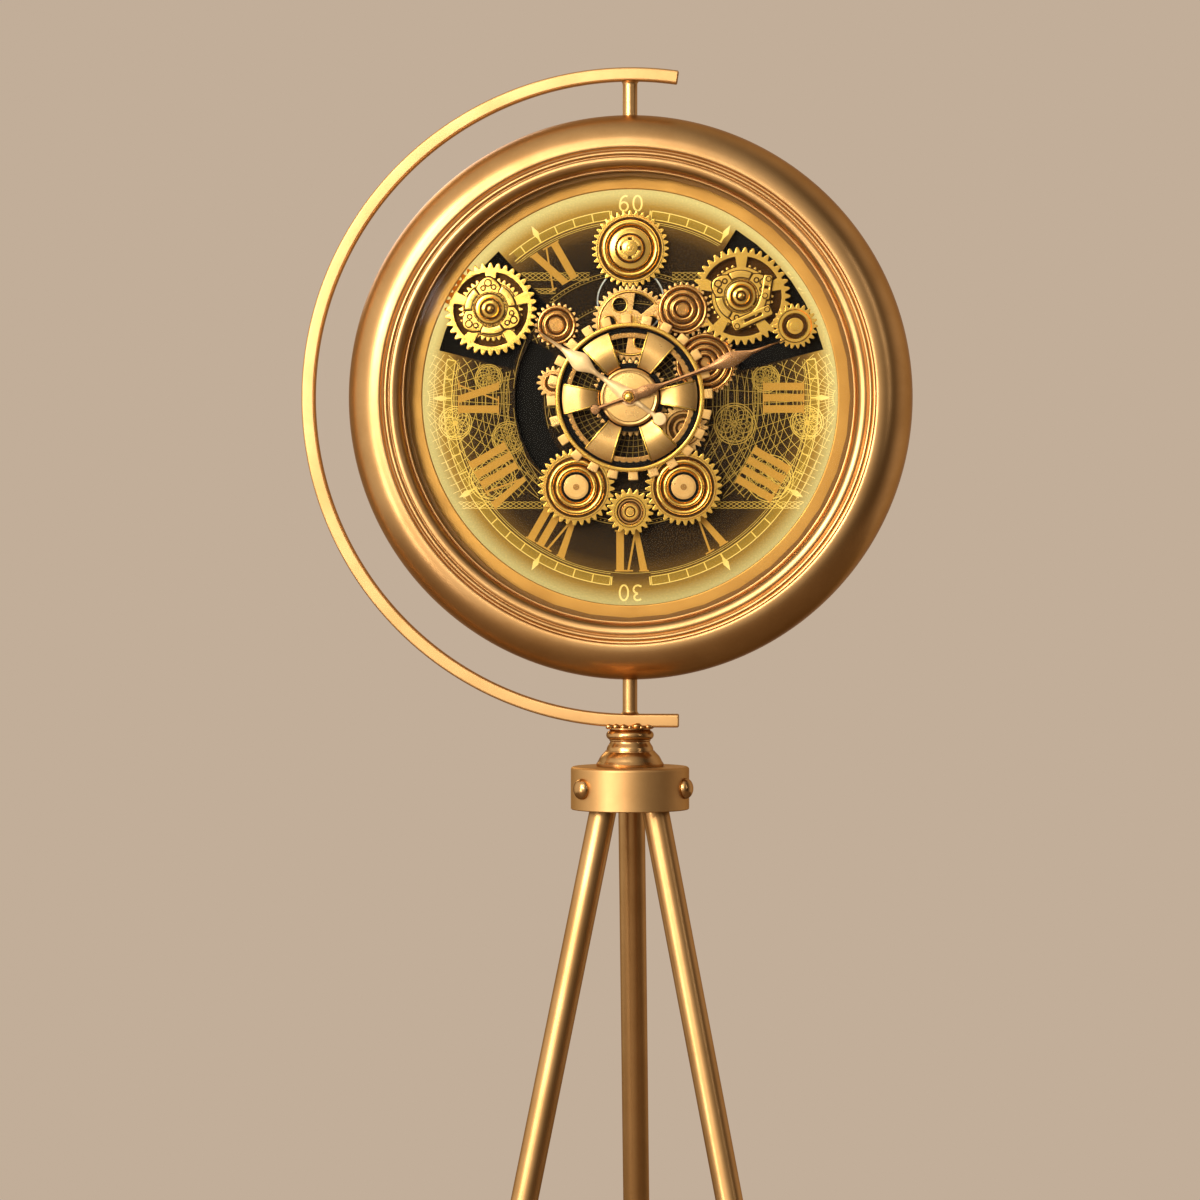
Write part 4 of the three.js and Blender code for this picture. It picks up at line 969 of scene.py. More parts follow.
    def arm(self) -> None:
        """Sweeps the rounded square bar along the arc and its lower tail."""
        middle = self.arm_outer - self.arm_thickness / 2
        overhang = math.degrees(math.asin(self.arm_tail / self.arm_outer))
        stations = []
        steps = 150
        for i in range(steps + 1):
            angle = math.radians(90 - overhang + (180 + overhang) * i / steps)
            outward = Vector((math.cos(angle), 0, math.sin(angle)))
            stations.append((outward * middle + Vector((0, 0, self.dial_height)), outward))
        last, outward = stations[-1]
        for reach in (2.0, self.arm_tail - 1.0):
            stations.append((last + Vector((reach, 0, 0)), outward))
        along = (stations[0][0] - stations[1][0]).normalized()
        first = stations[0]
        end_round = 0.7

        def section(centre: Vector, out: Vector, inset: float = 0.0) -> list[Vector]:
            """Gives the rounded rectangle at a station."""
            loop = rounded_bar(self.arm_thickness / 2 - inset, self.arm_depth / 2 - inset, self.arm_edge - inset)
            return [centre + out * x + Vector((0, 1, 0)) * y for x, y in loop]

        sections = [section(*first, end_round), section(first[0] - along * end_round, first[1])]
        sections += [section(*station) for station in stations[1:]]
        sections.append(section(stations[-1][0] + Vector((1.0, 0, 0)), outward, end_round))
        shape = bmesh.new()
        add_loft(shape, sections)
        STAND.fit("bent_arm", shape, LIGHTER_GOLD, "arm", sharp=40)

    def pins(self) -> None:
        """Makes the two upright pins, each with a small weld fillet at the arm."""
        low = self.dial_height - self.arm_outer + self.arm_thickness
        high = self.dial_height + self.arm_outer - self.arm_thickness
        r = self.pin_radius
        lower = [(0, low + 0.05), (r + 1.6, low + 0.05), (r + 0.9, low + 0.7), (r + 0.15, low + 1.8), (r, low + 3),
                 (r, low + 45.6), (r - 0.7, low + 46.3), (0, low + 46.3)]
        upper = [(0, high - 48.9), (r - 0.7, high - 48.9), (r, high - 48.2), (r, high - 3), (r + 0.15, high - 1.8),
                 (r + 0.9, high - 0.7), (r + 1.4, high - 0.12), (0, high - 0.12)]
        STAND.turn("swivel_pin_lower", lower, ANTIQUE_GOLD, "lower_pin", segments=48)
        STAND.turn("swivel_pin_upper", upper, ANTIQUE_GOLD, "upper_pin", segments=48)

    def welds(self) -> None:
        """Adds the rough weld between arm and neck: lacquered-over lumps in front and behind."""
        rolls = random.Random(11)
        shape = bmesh.new()
        base = self.neck_top + 0.6
        for side in (-1, 1):
            for x in (-16.6, -11.2, -5.4, 0.2, 5.0, 10.6, 15.8):
                size = rolls.uniform(2.1, 3.5)
                centre = Vector((x + rolls.uniform(-0.8, 0.8), side * (self.arm_depth / 2 + rolls.uniform(-0.2, 1.4)),
                                 base + rolls.uniform(-0.3, 1.1)))
                for vert in bmesh.ops.create_icosphere(shape, subdivisions=2, radius=size)["verts"]:
                    bend = 1 + 0.13 * math.sin(3.1 * vert.co.x + x) * math.cos(2.7 * vert.co.z - x)
                    lump = [value * share * bend for value, share in zip(vert.co, (1.15, 0.85, 0.8))]
                    vert.co = Vector(lump) + centre
        STAND.fit("weld_beads", shape, TURNED_GOLD, sharp=60)


# Case


@dataclass
class Case:
    """Round case with its moulded bezel, glass, liner, lights and back."""

    bulge_centre: float = 203.0
    bulge: float = 28.0
    half_depth: float = 40.0
    sharp: float = 26.0
    pin_hole: float = 6.6
    cover_radius: float = 200.0
    screw_circle: float = 196.0
    screw_clocks: tuple[float, ...] = (45.0, 135.0, 225.0, 315.0)

    def build(self) -> None:
        """Makes and dresses the case."""
        self.shell()
        self.liner()
        self.back()
        for index, clock in enumerate(self.screw_clocks):
            self.back_screw(index + 1, clock)
        keep_node("front_glass", FLOAT_GLASS, 0)
        keep_node("glass_gasket", GASKET_FOAM, 0)
        keep_node("led_strip", LIT_STRIP, 0)
        keep_node("upper_bush", TURNED_BRASS, 0.2)
        keep_node("lower_bush", TURNED_BRASS, 0.2)

    def shell(self) -> None:
        """Turns the shell: a broad bulge outside, then a bead between two grooves, an ovolo and a thin lip."""
        outer = arc(self.bulge_centre, 0, self.bulge, -90, 90, 56, self.half_depth)
        beads = [(202.0, 39.9), (201.3, 39.6), (200.9, 39.0), (200.7, 38.2)]
        beads += [(200.3, 37.5), (199.3, 37.3), (198.7, 37.8)] + arc(196.9, 38.0, 1.8, 5, 175, 12)
        beads += [(195.1, 37.7), (194.8, 37.3), (194.4, 37.3)]
        cove = eased([(194.2, 37.4), (192.8, 38.1), (190.8, 38.1), (188.4, 37.1), (186.4, 34.4), (185.2, 29.6)], 5)
        lip = [(185.1, 28.9), (184.85, 28.4)] + arc(183.7, 28.3, 1.05, 5, 175, 10) + [(182.6, 27.6), (182.6, 25.85)]
        inner = [(185.8, 25.85), (185.8, 17.0), (187.6, 17.0), (195.0, 33.6), (205.0, 35.6), (221.4, 26.9),
                 (226.5, 12.0), (226.5, -12.0), (221.4, -26.9), (203.0, -38.0), (190.0, -38.0), (190.0, -39.4),
                 (190.6, -40.0)]
        shape = bmesh.new()
        add_turned(shape, [*outer, *beads, *cove, *lip, *inner], 256)
        shell = as_piece("moulded_case", shape, on_dial(), self.sharp, crisp=False)
        self.cut_pin_holes(shell)
        fit_on(shell, "case", ANTIQUE_GOLD, "case_shell")

    def cut_pin_holes(self, shell: Piece) -> None:
        """Cuts the two holes that the swivel pins pass through, and clears the slivers that the cut leaves."""
        cutter = turned("pin_cutter", band(0, self.pin_hole, 980, 1480), on_stand(), 48)
        cut = shell.modifiers.new("pins", "BOOLEAN")
        cut.operation = "DIFFERENCE"
        cut.solver = "EXACT"
        cut.object = cutter
        bpy.context.view_layer.update()
        done = bpy.data.meshes.new_from_object(shell.evaluated_get(bpy.context.evaluated_depsgraph_get()))
        shell.modifiers.clear()
        clean = bmesh.new()
        clean.from_mesh(done)
        bmesh.ops.remove_doubles(clean, verts=clean.verts, dist=0.02 * MM)
        bmesh.ops.dissolve_degenerate(clean, edges=clean.edges, dist=0.01 * MM)
        clean.to_mesh(done)
        clean.free()
        old, shell.data = shell.data, done
        bpy.data.meshes.remove(old)
        bpy.data.objects.remove(cutter)
        done.set_sharp_from_angle(angle=math.radians(self.sharp))

    def liner(self) -> None:
        """Turns the liner: a skirt that hides the lights and a flat ring in front of them."""
        profile = [(184.0, -11.6), (185.4, -11.6), (185.4, 20.0), (184.4, 20.0), (184.0, 19.6), (184.0, 7.6),
                   (171.2, 7.6), (170.4, 7.3), (170.0, 6.7), (170.2, 6.1), (171.0, 6.0), (184.0, 6.0)]
        DIAL.turn("liner_and_flat_ring", profile, LINER_GOLD, "liner_ring", segments=192)

    def back(self) -> None:
        """Makes the back cover with its two openings and its pressed beads."""
        half, wide, tall, drop = 32.0, 37.0, 27.0, 105.0
        openings = [rounded_bar(half, half, 4.0, 6), rounded_bar(wide, tall, 4.0, 6, -drop)]
        holes = [circle(1.9, 16, *at_clock(self.screw_circle, clock)) for clock in self.screw_clocks]
        shape = bmesh.new()
        add_plate(shape, [circle(self.cover_radius, 192), *openings, *holes], -41.8, -40.3, 0.4)
        DIAL.fit("pressed_back_cover", shape, BAKED_BLACK, "back_cover")
        rim = bmesh.new()
        add_turned(rim, [(186.0, -41.7), (187.2, -42.6), (188.8, -42.6), (190.0, -41.7)], 160)
        for radius in (150.0, 156.0):
            bead = [(radius, -41.7), (radius + 1.0, -42.7), (radius + 2.2, -42.7), (radius + 3.2, -41.7)]
            add_turned(rim, bead, 160)
        DIAL.fit("back_cover_beads", rim, BAKED_BLACK)

    def back_screw(self, number: int, clock: float) -> None:
        """Makes a pan-head screw with a cross recess, seen from behind."""
        shape = bmesh.new()
        add_turned(shape, [(0, -43.0), (1.0, -43.0), (1.2, -44.1), (2.2, -43.9), (3.0, -43.2), (3.2, -42.1),
                           (1.6, -42.1), (1.6, -37.6), (0, -37.6)], 32)
        for turn in (0, 90):
            add_bar(shape, 2.0, 0.55, -43.4, -42.9, turn)
        spot = Spot(on_dial(*at_clock(self.screw_circle, clock)))
        spot.fit(f"pan_screw_{number}", shape, ZINC_STEEL, f"back_cover_screw_{number}")


# Dial


@dataclass
class Dial:
    """Dial sheet with its print: numerals, minute track and generic ruled and turned ornament."""

    front: float = -12.0
    ink: float = 0.1
    windows: tuple[tuple[float, float, float, float], ...] = (
        (284.0, 318.0, 100.0, 163.0), (32.0, 76.0, 92.0, 163.0), (228.0, 300.0, 73.0, 96.0))
    track_inner: float = 147.6
    track_outer: float = 154.6
    numeral_inner: float = 108.5
    numeral_height: float = 34.0
    number_radius: float = 160.0
    number_gap: float = 6.5
    print_radius: float = 168.0
    field_inner: float = 58.0
    field_half: float = 84.0

    def build(self) -> None:
        """Makes the print and dresses the plates."""
        keep_node("dial_plate", DIAL_GROUND, 0)
        keep_node("movement_plate", BLACK_PAINT, 0)
        self.track()
        self.numerals()
        self.ornament()

    def open_at(self, x: float, y: float) -> bool:
        """Tells whether a place lies in an opening or outside the print."""
        radius = math.hypot(x, y)
        clock = math.degrees(math.atan2(x, y)) % 360
        margin, turn_margin = 0.8, 0.4
        return radius > self.print_radius + 0.5 or any(
            low - turn_margin < clock < high + turn_margin and inner - margin < radius < outer + margin
            for low, high, inner, outer in self.windows)

    def stroke(self, shape: Shape, points: Loop, width: float, lift: float = 0.0) -> None:
        """Prints a line through points, left out over the openings.

        Args:
            shape: The mesh that it goes into.
            points: The line's points.
            width: Its width.
            lift: How far its ink stands over other ink.
        """
        low, high = self.front + 0.01, self.front + self.ink + lift
        for (x0, y0), (x1, y1) in zip(points, points[1:]):
            if self.open_at(x0, y0) or self.open_at(x1, y1):
                continue
            length = math.hypot(x1 - x0, y1 - y0)
            if length < 1e-4:
                continue
            nx, ny = -(y1 - y0) / length * width / 2, (x1 - x0) / length * width / 2
            slab(shape, [(x0 - nx, y0 - ny), (x1 - nx, y1 - ny), (x1 + nx, y1 + ny), (x0 + nx, y0 + ny)], low, high)

    def track(self) -> None:
        """Prints the minute track: circles, a tick each minute, a diamond each five minutes and two numbers."""
        shape = bmesh.new()
        low, gap = self.front + 0.01, self.number_gap
        inner, outer = self.track_inner, self.track_outer
        for radius, width in ((inner, 0.75), (outer, 0.75), (inner - 2.2, 0.35)):
            for start in (gap, 180 + gap):
                line = [at_clock(radius, start + (180 - 2 * gap) * k / 84) for k in range(85)]
                self.stroke(shape, line, width)
        for minute in range(60):
            clock = minute * 6.0
            if minute in (0, 30):
                continue
            self.stroke(shape, [at_clock(inner, clock), at_clock(outer, clock)], 1.0 if minute % 5 else 1.5)
            if minute % 5 == 0 and not self.open_at(*at_clock(156, clock)):
                diamond = [at_clock(149.4, clock), at_clock(156.5, clock + 0.9), at_clock(163.6, clock),
                           at_clock(156.5, clock - 0.9)]
                slab(shape, diamond, low, self.front + self.ink + 0.04)
        for clock, digits in ((0.0, "60"), (180.0, "30")):
            self.number(shape, clock, digits)
            for end in (-gap, gap):
                self.stroke(shape, [at_clock(inner, clock + end), at_clock(outer, clock + end)], 0.7)
        band_print = bmesh.new()
        for clock in range(0, 360, 3):
            shut = not any(self.open_at(*at_clock(inner + 3, clock + more)) for more in (0, 3))
            if 6 <= clock % 180 <= 171 and shut:
                slab(band_print, sector(inner, outer, clock, clock + 3.02, 3), self.front + 0.005, self.front + 0.012)
        DIAL.fit("minute_band", band_print, BAND_PRINT)
        DIAL.fit("minute_track", shape, LINE_PRINT)

    def number(self, shape: Shape, clock: float, digits: str) -> None:
        """Prints a two-figure number at the rim, its top outwards."""
        strokes = {
            "0": [arc(0, 0, 2.4, 90, -270, 24, 4.8)],
            "6": [arc(0, -2.0, 2.3, 90, -270, 18, 2.8),
                  [(-2.3, -2.0), (-2.1, 1.0), (-1.2, 3.4), (0.6, 4.8), (2.0, 4.4)]],
            "3": [[(-2.0, 4.0), (-0.6, 4.8), (1.2, 4.5), (2.0, 3.0), (1.4, 1.3), (-0.2, 0.5)],
                  [(-0.2, 0.5), (1.8, -0.4), (2.4, -2.2), (1.6, -4.1), (-0.2, -4.8), (-2.2, -3.9)]],
        }
        for place, digit in zip((-5.6, 5.6), digits):
            for line in strokes[digit]:
                points = [spun(1.45 * x + place, 1.3 * y + self.number_radius, clock) for x, y in line]
                self.stroke(shape, points, 1.5)

    def numerals(self) -> None:
        """Prints the Roman numerals, tops outwards, where neither an opening nor a gear takes their place."""
        words = {1: "I", 3: "III", 4: "IIII", 5: "V", 6: "VI", 7: "VII", 8: "VIII", 9: "IX", 11: "XI"}
        widths = {"I": 9.2, "V": 17.5, "X": 18.0}
        shape = bmesh.new()
        for hour, word in words.items():
            at = -sum(widths[letter] for letter in word) / 2
            for letter in word:
                self.letter(shape, letter, at + widths[letter] / 2, hour * 30.0)
                at += widths[letter]
        DIAL.fit("roman_numerals", shape, GOLD_PRINT)

    def letter(self, shape: Shape, letter: str, offset: float, clock: float) -> None:
        """Prints one letter: broad and hair strokes with small serifs.

        Args:
            shape: The mesh that it goes into.
            letter: I, V or X.
            offset: Its middle, to the right of the numeral's middle.
            clock: The numeral's clock angle.
        """
        h = self.numeral_height
        broad, hair, serif = 6.2, 1.5, 1.2
        quads = {
            "I": [[(-broad / 2, 0), (broad / 2, 0), (broad / 2, h), (-broad / 2, h)]],
            "V": [[(-1.8, 0), (2.4, 0), (-3.2, h), (-9.4, h)], [(-0.2, 0), (1.4, 0), (7.6, h), (5.8, h)]],
            "X": [[(2.6, 0), (8.8, 0), (-2.6, h), (-8.8, h)],
                  [(-7.2, 0), (-7.2 + hair, 0), (7.2, h), (7.2 - hair, h)]],
        }[letter]
        feet = {"I": [(0, 0), (0, h)], "V": [(-6.3, h), (6.7, h)], "X": [(-6.5, 0), (5.7, 0), (-5.7, h), (6.5, h)]}
        half = {"I": 4.3, "V": 4.0, "X": 3.6}[letter]
        for x, y in feet[letter]:
            low, high = (y, y + serif) if y < h / 2 else (y - serif, y)
            quads.append([(x - half, low), (x + half, low), (x + half, high), (x - half, high)])
        for number, quad in enumerate(quads):
            points = [spun(x + offset, y + self.numeral_inner, clock) for x, y in quad]
            if not any(self.open_at(*p) for p in points):
                slab(shape, points, self.front + 0.01, self.front + self.ink + 0.08 + 0.01 * number)

    def ornament(self) -> None:
        """Prints generic ornament: shell-shaped fans, turned rosettes, dotted circles, waves, rings and rays."""
        shape = bmesh.new()
        self.fans(shape)
        self.rosettes(shape)
        self.rings_of_dots(shape)
        self.scrolls(shape)
        for radius in range(30, 58, 5):
            self.stroke(shape, [at_clock(radius, a) for a in range(0, 363, 3)], 0.45)
        for clock in range(0, 360, 6):
            self.stroke(shape, [at_clock(26.0, clock), at_clock(58.0, clock + 5.0)], 0.4)
        DIAL.fit("dial_ornament", shape, LINE_PRINT)

    def within(self, x: float, y: float) -> bool:
        """Tells whether a place lies in one of the two side fields that carry the fine lines."""
        return math.hypot(x, y) < self.print_radius and abs(x) > self.field_inner and abs(y) < self.field_half

    def fans(self, shape: Shape) -> None:
        """Draws in each side field two shell-shaped fans of arcs and rays, one from the rim and one from within."""
        for side in (-1, 1):
            for cx, first, last, gap, rays, width in ((178.0, 12, 124, 6.6, 48, 0.45), (20.0, 48, 150, 8.6, 0, 0.4)):
                radius = float(first)
                while radius < last:
                    self.inside_stroke(shape, arc(side * cx, 0, radius, 0, 360, 90), width)
                    radius += gap
                for k in range(rays):
                    a = 2 * math.pi * (k + 0.5) / rays
                    ray = [(side * cx + r * math.cos(a), r * math.sin(a)) for r in range(first, last, 4)]
                    self.inside_stroke(shape, ray, width * 0.85)

    def inside_stroke(self, shape: Shape, points: Loop, width: float) -> None:
        """Prints those parts of a line that lie in the side fields."""
        run: Loop = []
        for point in [*points, (0.0, 0.0)]:
            if self.within(*point):
                run.append(point)
                continue
            if len(run) > 1:
                self.stroke(shape, run, width)
            run = []

    def rosettes(self, shape: Shape) -> None:
        """Draws turned rosettes: rings of overlapping circles about a few centres."""
        for clock, reach, size in ((262, 146, 12), (98, 146, 12), (240, 132, 17), (120, 132, 17), (104, 88, 15),
                                   (82, 112, 10), (278, 118, 10), (252, 106, 12)):
            cx, cy = at_clock(reach, clock)
            for k in range(12):
                a = math.radians(30 * k)
                ring = circle(size * 0.5, 20, cx + size * 0.5 * math.cos(a), cy + size * 0.5 * math.sin(a))
                self.stroke(shape, [*ring, ring[0]], 0.42, 0.02)
            for ratio in (1.0, 1.13):
                ring = circle(size * ratio, 32, cx, cy)
                self.stroke(shape, [*ring, ring[0]], 0.7, 0.03)

    def rings_of_dots(self, shape: Shape) -> None:
        """Draws fine circles with dots and short dashes between the numerals and the wheel."""
        for radius, width in ((104.5, 0.5), (101.5, 0.3), (144.0, 0.3), (78.0, 0.4)):
            self.stroke(shape, [at_clock(radius, a) for a in range(0, 361, 3)], width, 0.01)
        for clock in range(0, 360, 2):
            for radius, size in ((103.0, 0.5), (79.8, 0.45)):
                x, y = at_clock(radius, clock)
                if not self.open_at(x, y):
                    slab(shape, circle(size, 6, x, y), self.front + 0.01, self.front + self.ink)

    def scrolls(self, shape: Shape) -> None:
        """Draws bands of crossing waves above and below the side fields."""
        for side in (-1, 1):
            for y, start, lift in ((100, 34, 3.2), (-88, 62, 2.8), (88, 62, 2.2)):
                for phase in range(5):
                    wave = [(side * (start + k * 1.6), y + lift * math.sin(k * 0.42 + phase * math.pi / 2.5))
                            for k in range(84)]
                    self.stroke(shape, [p for p in wave if math.hypot(*p) < 166], 0.42, 0.01)


# Gears


def mesh_phase(first_teeth: int, first_phase: float, second_teeth: int, direction: float) -> float:
    """Gives the tooth angle of a gear that meshes with another one in a direction, in radians."""
    step = 2 * math.pi / second_teeth
    turn = first_teeth * (direction - first_phase) / (2 * math.pi)
    return direction + math.pi - step * (0.5 - turn)


@dataclass
class Gear:
    """A toothed plate; its teeth stay within those of the CAD gear, so that it runs as freely."""

    teeth: int
    module: float
    phase: float = 0.0
    top: float = 0.65
    root: float = 1.35

    @property
    def pitch(self) -> float:
        """Radius of the pitch circle."""
        return self.teeth * self.module / 2

    @property
    def tip_radius(self) -> float:
        """Radius over the teeth."""
        return self.pitch + self.top * self.module

    @property
    def root_radius(self) -> float:
        """Radius at the bottom of the teeth."""
        return self.pitch - self.root * self.module

    def outline(self) -> Loop:
        """Gives the toothed outline."""
        step = 2 * math.pi / self.teeth
        points: Loop = []
        for k in range(self.teeth):
            for radius, share in ((self.root_radius, -0.4), (self.pitch, -0.23), (self.tip_radius, -0.1),
                                  (self.tip_radius, 0.1), (self.pitch, 0.23), (self.root_radius, 0.4)):
                angle = self.phase + (k + share) * step
                points.append((radius * math.cos(angle), radius * math.sin(angle)))
        return points


@dataclass
class Train:
    """The turning gears: centre wheel, the two above it, its pinion and the three below."""

    rear: tuple[float, float] = (-10.5, -6.5)
    front: tuple[float, float] = (-5.0, -1.0)
    rear_module: float = 1.7
    front_module: float = 1.9
    stem: float = 6.0
    foot: float = -11.7
    bore: float = 5.3
    blade_clock: float = 28.6
    blade_half: float = 12.4
    blade_inner: float = 25.4
    blade_length: float = 29.9
    blade_foot: float = 2.3

    def build(self) -> None:
        """Makes and dresses the train."""
        up = math.pi / 2
        self.centre(up)
        idler = mesh_phase(36, up, 36, up)
        self.idler(idler)
        self.top(mesh_phase(36, idler, 36, up))
        self.pinion(mesh_phase(36, up, 23, self.direction("centre_wheel_spin", "drive_pinion_spin")))
        left = mesh_phase(58, up, 32, self.direction("centre_wheel_spin", "lower_left_spin"))
        self.lower("left", left)
        self.lower("right", math.pi - left)
        self.small(mesh_phase(32, left, 19, self.direction("lower_left_spin", "lower_small_spin")))
        keep_node("centre_bush", TURNED_BRASS, 0.2)
        self.frame_ring()

    def frame_ring(self) -> None:
        """Makes the thin ring that frames the two upper gears from behind."""
        ring = [(26.6, -11.95), (28.0, -11.95), (28.0, -11.3), (27.6, -10.9), (27.0, -10.9), (26.6, -11.3)]
        Spot(on_dial(0, 79.5)).turn("upper_frame_ring", ring, ZINC_STEEL)

    def direction(self, first: str, second: str) -> float:
        """Gives the direction on the dial from one joint to another, in radians."""
        way = JOINTS[second] - JOINTS[first]
        return math.atan2(way.z, way.x)

    def spot(self, gear: str) -> Spot:
        """Gives the place and the body of a gear that turns on its own shaft."""
        return Spot(on_joint(f"{gear}_spin"), f"{gear}_body")

    def shaft(self, shape: Shape, top: float) -> None:
        """Adds the stem that carries a gear on the dial plate and its shaft through the plates."""
        add_turned(shape, [(0, -20), (2.5, -20), (2.5, self.foot), (self.stem, self.foot), (self.stem, top),
                           (0, top)], 32)

    def centre(self, up: float) -> None:
        """Makes the drive gear, the large gear behind the wheel, the toothed crown and the bladed disc."""
        drive = bmesh.new()
        add_plate(drive, [Gear(36, self.rear_module, up).outline(), circle(self.bore, 32)], *self.rear)
        add_turned(drive, band(self.bore, 10, self.foot, -5.3), 48)
        WHEEL.fit("drive_gear_disc", drive, ROSE_BRONZE, "centre_drive_gear")
        large = Gear(58, self.front_module, up)
        inner = large.root_radius - 3.4
        spokes = [self.blade_clock + 120 * k for k in range(3)]
        gaps = [sector(10, inner, clock + 6.5, clock + 120 - 6.5, 24) for clock in spokes]
        ring = bmesh.new()
        add_plate(ring, [large.outline(), circle(self.bore, 32), *gaps], *self.front)
        WHEEL.fit("large_gear_ring", ring, DARK_BRONZE, "centre_gear")
        self.crown()
        self.blades()

    def crown(self) -> None:
        """Makes the crown: a thick polished rim, 24 square teeth behind it and a black ledge of painted shade inside.
        """
        outline: Loop = []
        for k in range(24):
            for clock, radius in ((-7.5, 60.5), (-3.95, 60.5), (-3.6, 61.2), (-3.5, 67.4), (-2.9, 68.0), (2.9, 68.0),
                                  (3.5, 67.4), (3.6, 61.2), (3.95, 60.5)):
                outline.append(at_clock(radius, 15 * k - 2.5 + clock))
        teeth = bmesh.new()
        add_plate(teeth, [outline, circle(58.0, 128)], 1.0, 4.0, 0.4)
        WHEEL.fit("crown_teeth", teeth, SATIN_GOLD, "crown_ring")
        rim = [(57.4, 1.6), (57.4, 5.0)] + arc(58.6, 5.0, 1.2, 180, 90, 5) + arc(60.0, 5.0, 1.2, 90, 0, 5)
        WHEEL.turn("crown_rim", [*rim, (61.2, 1.6)], POLISHED_GOLD, segments=160)
        # Painted shade: the ledge is black for the shade in the gap between the blades and the rim.
        WHEEL.turn("crown_ledge", band(53.4, 57.6, 1.0, 2.0), BLACK_PAINT, segments=128)

    def blades(self) -> None:
        """Makes the disc: six crowned satin blades with bright raised edges, a dark groove and a satin hub."""
        web = [(self.bore, 2.3), (28.2, 2.3), (28.2, 3.2), (24.2, 3.4), (24.2, 3.2), (self.bore, 3.2)]
        WHEEL.turn("blade_web", web, BLACK_PAINT)
        hub = [(self.bore, 3.0), (23.2, 3.0), (24.0, 3.6), (24.0, 6.6), (23.4, 7.5), (22.2, 8.0), (21.2, 7.7),
               (20.6, 7.7), (19.8, 8.1), (12.0, 8.35), (self.bore, 8.4)]
        WHEEL.turn("blade_disc_hub", hub, SATIN_GOLD, segments=128, sharp=24)
        skin, edges = bmesh.new(), bmesh.new()
        for k in range(6):
            middle = self.blade_clock + 60 * k
            self.blade(skin, middle)
            for side in (-1, 1):
                self.blade_edge(edges, middle + side * (self.blade_half + 0.2))
        WHEEL.fit("crowned_blades", skin, SATIN_GOLD, "spoke_disc", sharp=40)
        WHEEL.fit("blade_edges", edges, POLISHED_GOLD, sharp=40)

    def crest(self, share: float) -> float:
        """Gives the height of a blade at a share of its length: high in the middle, low at hub and rim."""
        return 4.4 + 3.0 * max(math.sin(math.pi * share), 0.0) ** 0.8

    def blade(self, shape: Shape, middle: float) -> None:
        """Adds one blade as a closed crowned block."""
        across, along = 10, 18
        top, bottom = [], []
        for i in range(along + 1):
            radius = self.blade_inner + self.blade_length * i / along
            clocks = [middle - self.blade_half + 2 * self.blade_half * j / across for j in range(across + 1)]
            for rows, height in ((top, self.crest(i / along)), (bottom, self.blade_foot)):
                rows.append([shape.verts.new((*at_clock(radius, clock), height)) for clock in clocks])
        for rows in (top, bottom):
            for a, b in zip(rows, rows[1:]):
                for j in range(across):
                    shape.faces.new((a[j], a[j + 1], b[j + 1], b[j]))
        for j in range(across):
            for i in (0, -1):
                shape.faces.new((bottom[i][j], bottom[i][j + 1], top[i][j + 1], top[i][j]))
        for i in range(along):
            for j in (0, across):
                shape.faces.new((bottom[i][j], bottom[i + 1][j], top[i + 1][j], top[i][j]))

    def blade_edge(self, shape: Shape, clock: float) -> None:
        """Adds the bright strip along one side of a blade."""
        sections = []
        steps = 18
        for i in range(steps + 1):
            radius = self.blade_inner + self.blade_length * i / steps
            height = self.crest(i / steps) + 0.35
            wide = math.degrees(0.75 / radius)
            corners = [(-wide, self.blade_foot), (-wide, height - 0.3), (-wide * 0.5, height),
                       (wide * 0.5, height), (wide, height - 0.3), (wide, self.blade_foot)]
            sections.append([Vector((*at_clock(radius, clock + aside), z)) for aside, z in corners])
        add_loft(shape, sections)

    def idler(self, phase: float) -> None:
        """Makes the skeleton gear over the centre wheel, with a ring, bored holes and small screws."""
        spot = self.spot("upper_idler")
        shape = bmesh.new()
        gaps = [sector(11.5, 24.6, 60 * k + 9, 60 * k + 51, 12) for k in (0, 3)]
        bores = [at_clock(17.5, 60 * k + 30) for k in (1, 2, 4, 5)]
        holes = [circle(5.2, 32, *bore) for bore in bores]
        add_plate(shape, [Gear(36, self.rear_module, phase).outline(), *gaps, *holes], self.rear[0] + 0.8,
                  self.rear[1])
        self.shaft(shape, self.rear[1])
        spot.fit("skeleton_gear", shape, ROSE_BRONZE, "upper_idler")
        trim = bmesh.new()
        add_turned(trim, [(24.7, -6.7), *reversed(arc(26.0, -6.5, 1.2, 0, 180, 8)), (27.2, -6.7)], 96)
        for bore in bores:
            add_turned(trim, [(5.3, -6.7), *reversed(arc(6.1, -6.5, 0.8, 0, 180, 6)), (6.9, -6.7)], 32, *bore)
        add_turned(trim, stepped_profile(-6.6, [(6.6, -6.0), (4.6, -5.5)]), 40)
        for k in range(6):
            slotted_screw(trim, 1.3, -6.5, *at_clock(9.0, 60 * k), 40 * k)
        spot.fit("skeleton_gear_trim", trim, SPUN_GOLD)

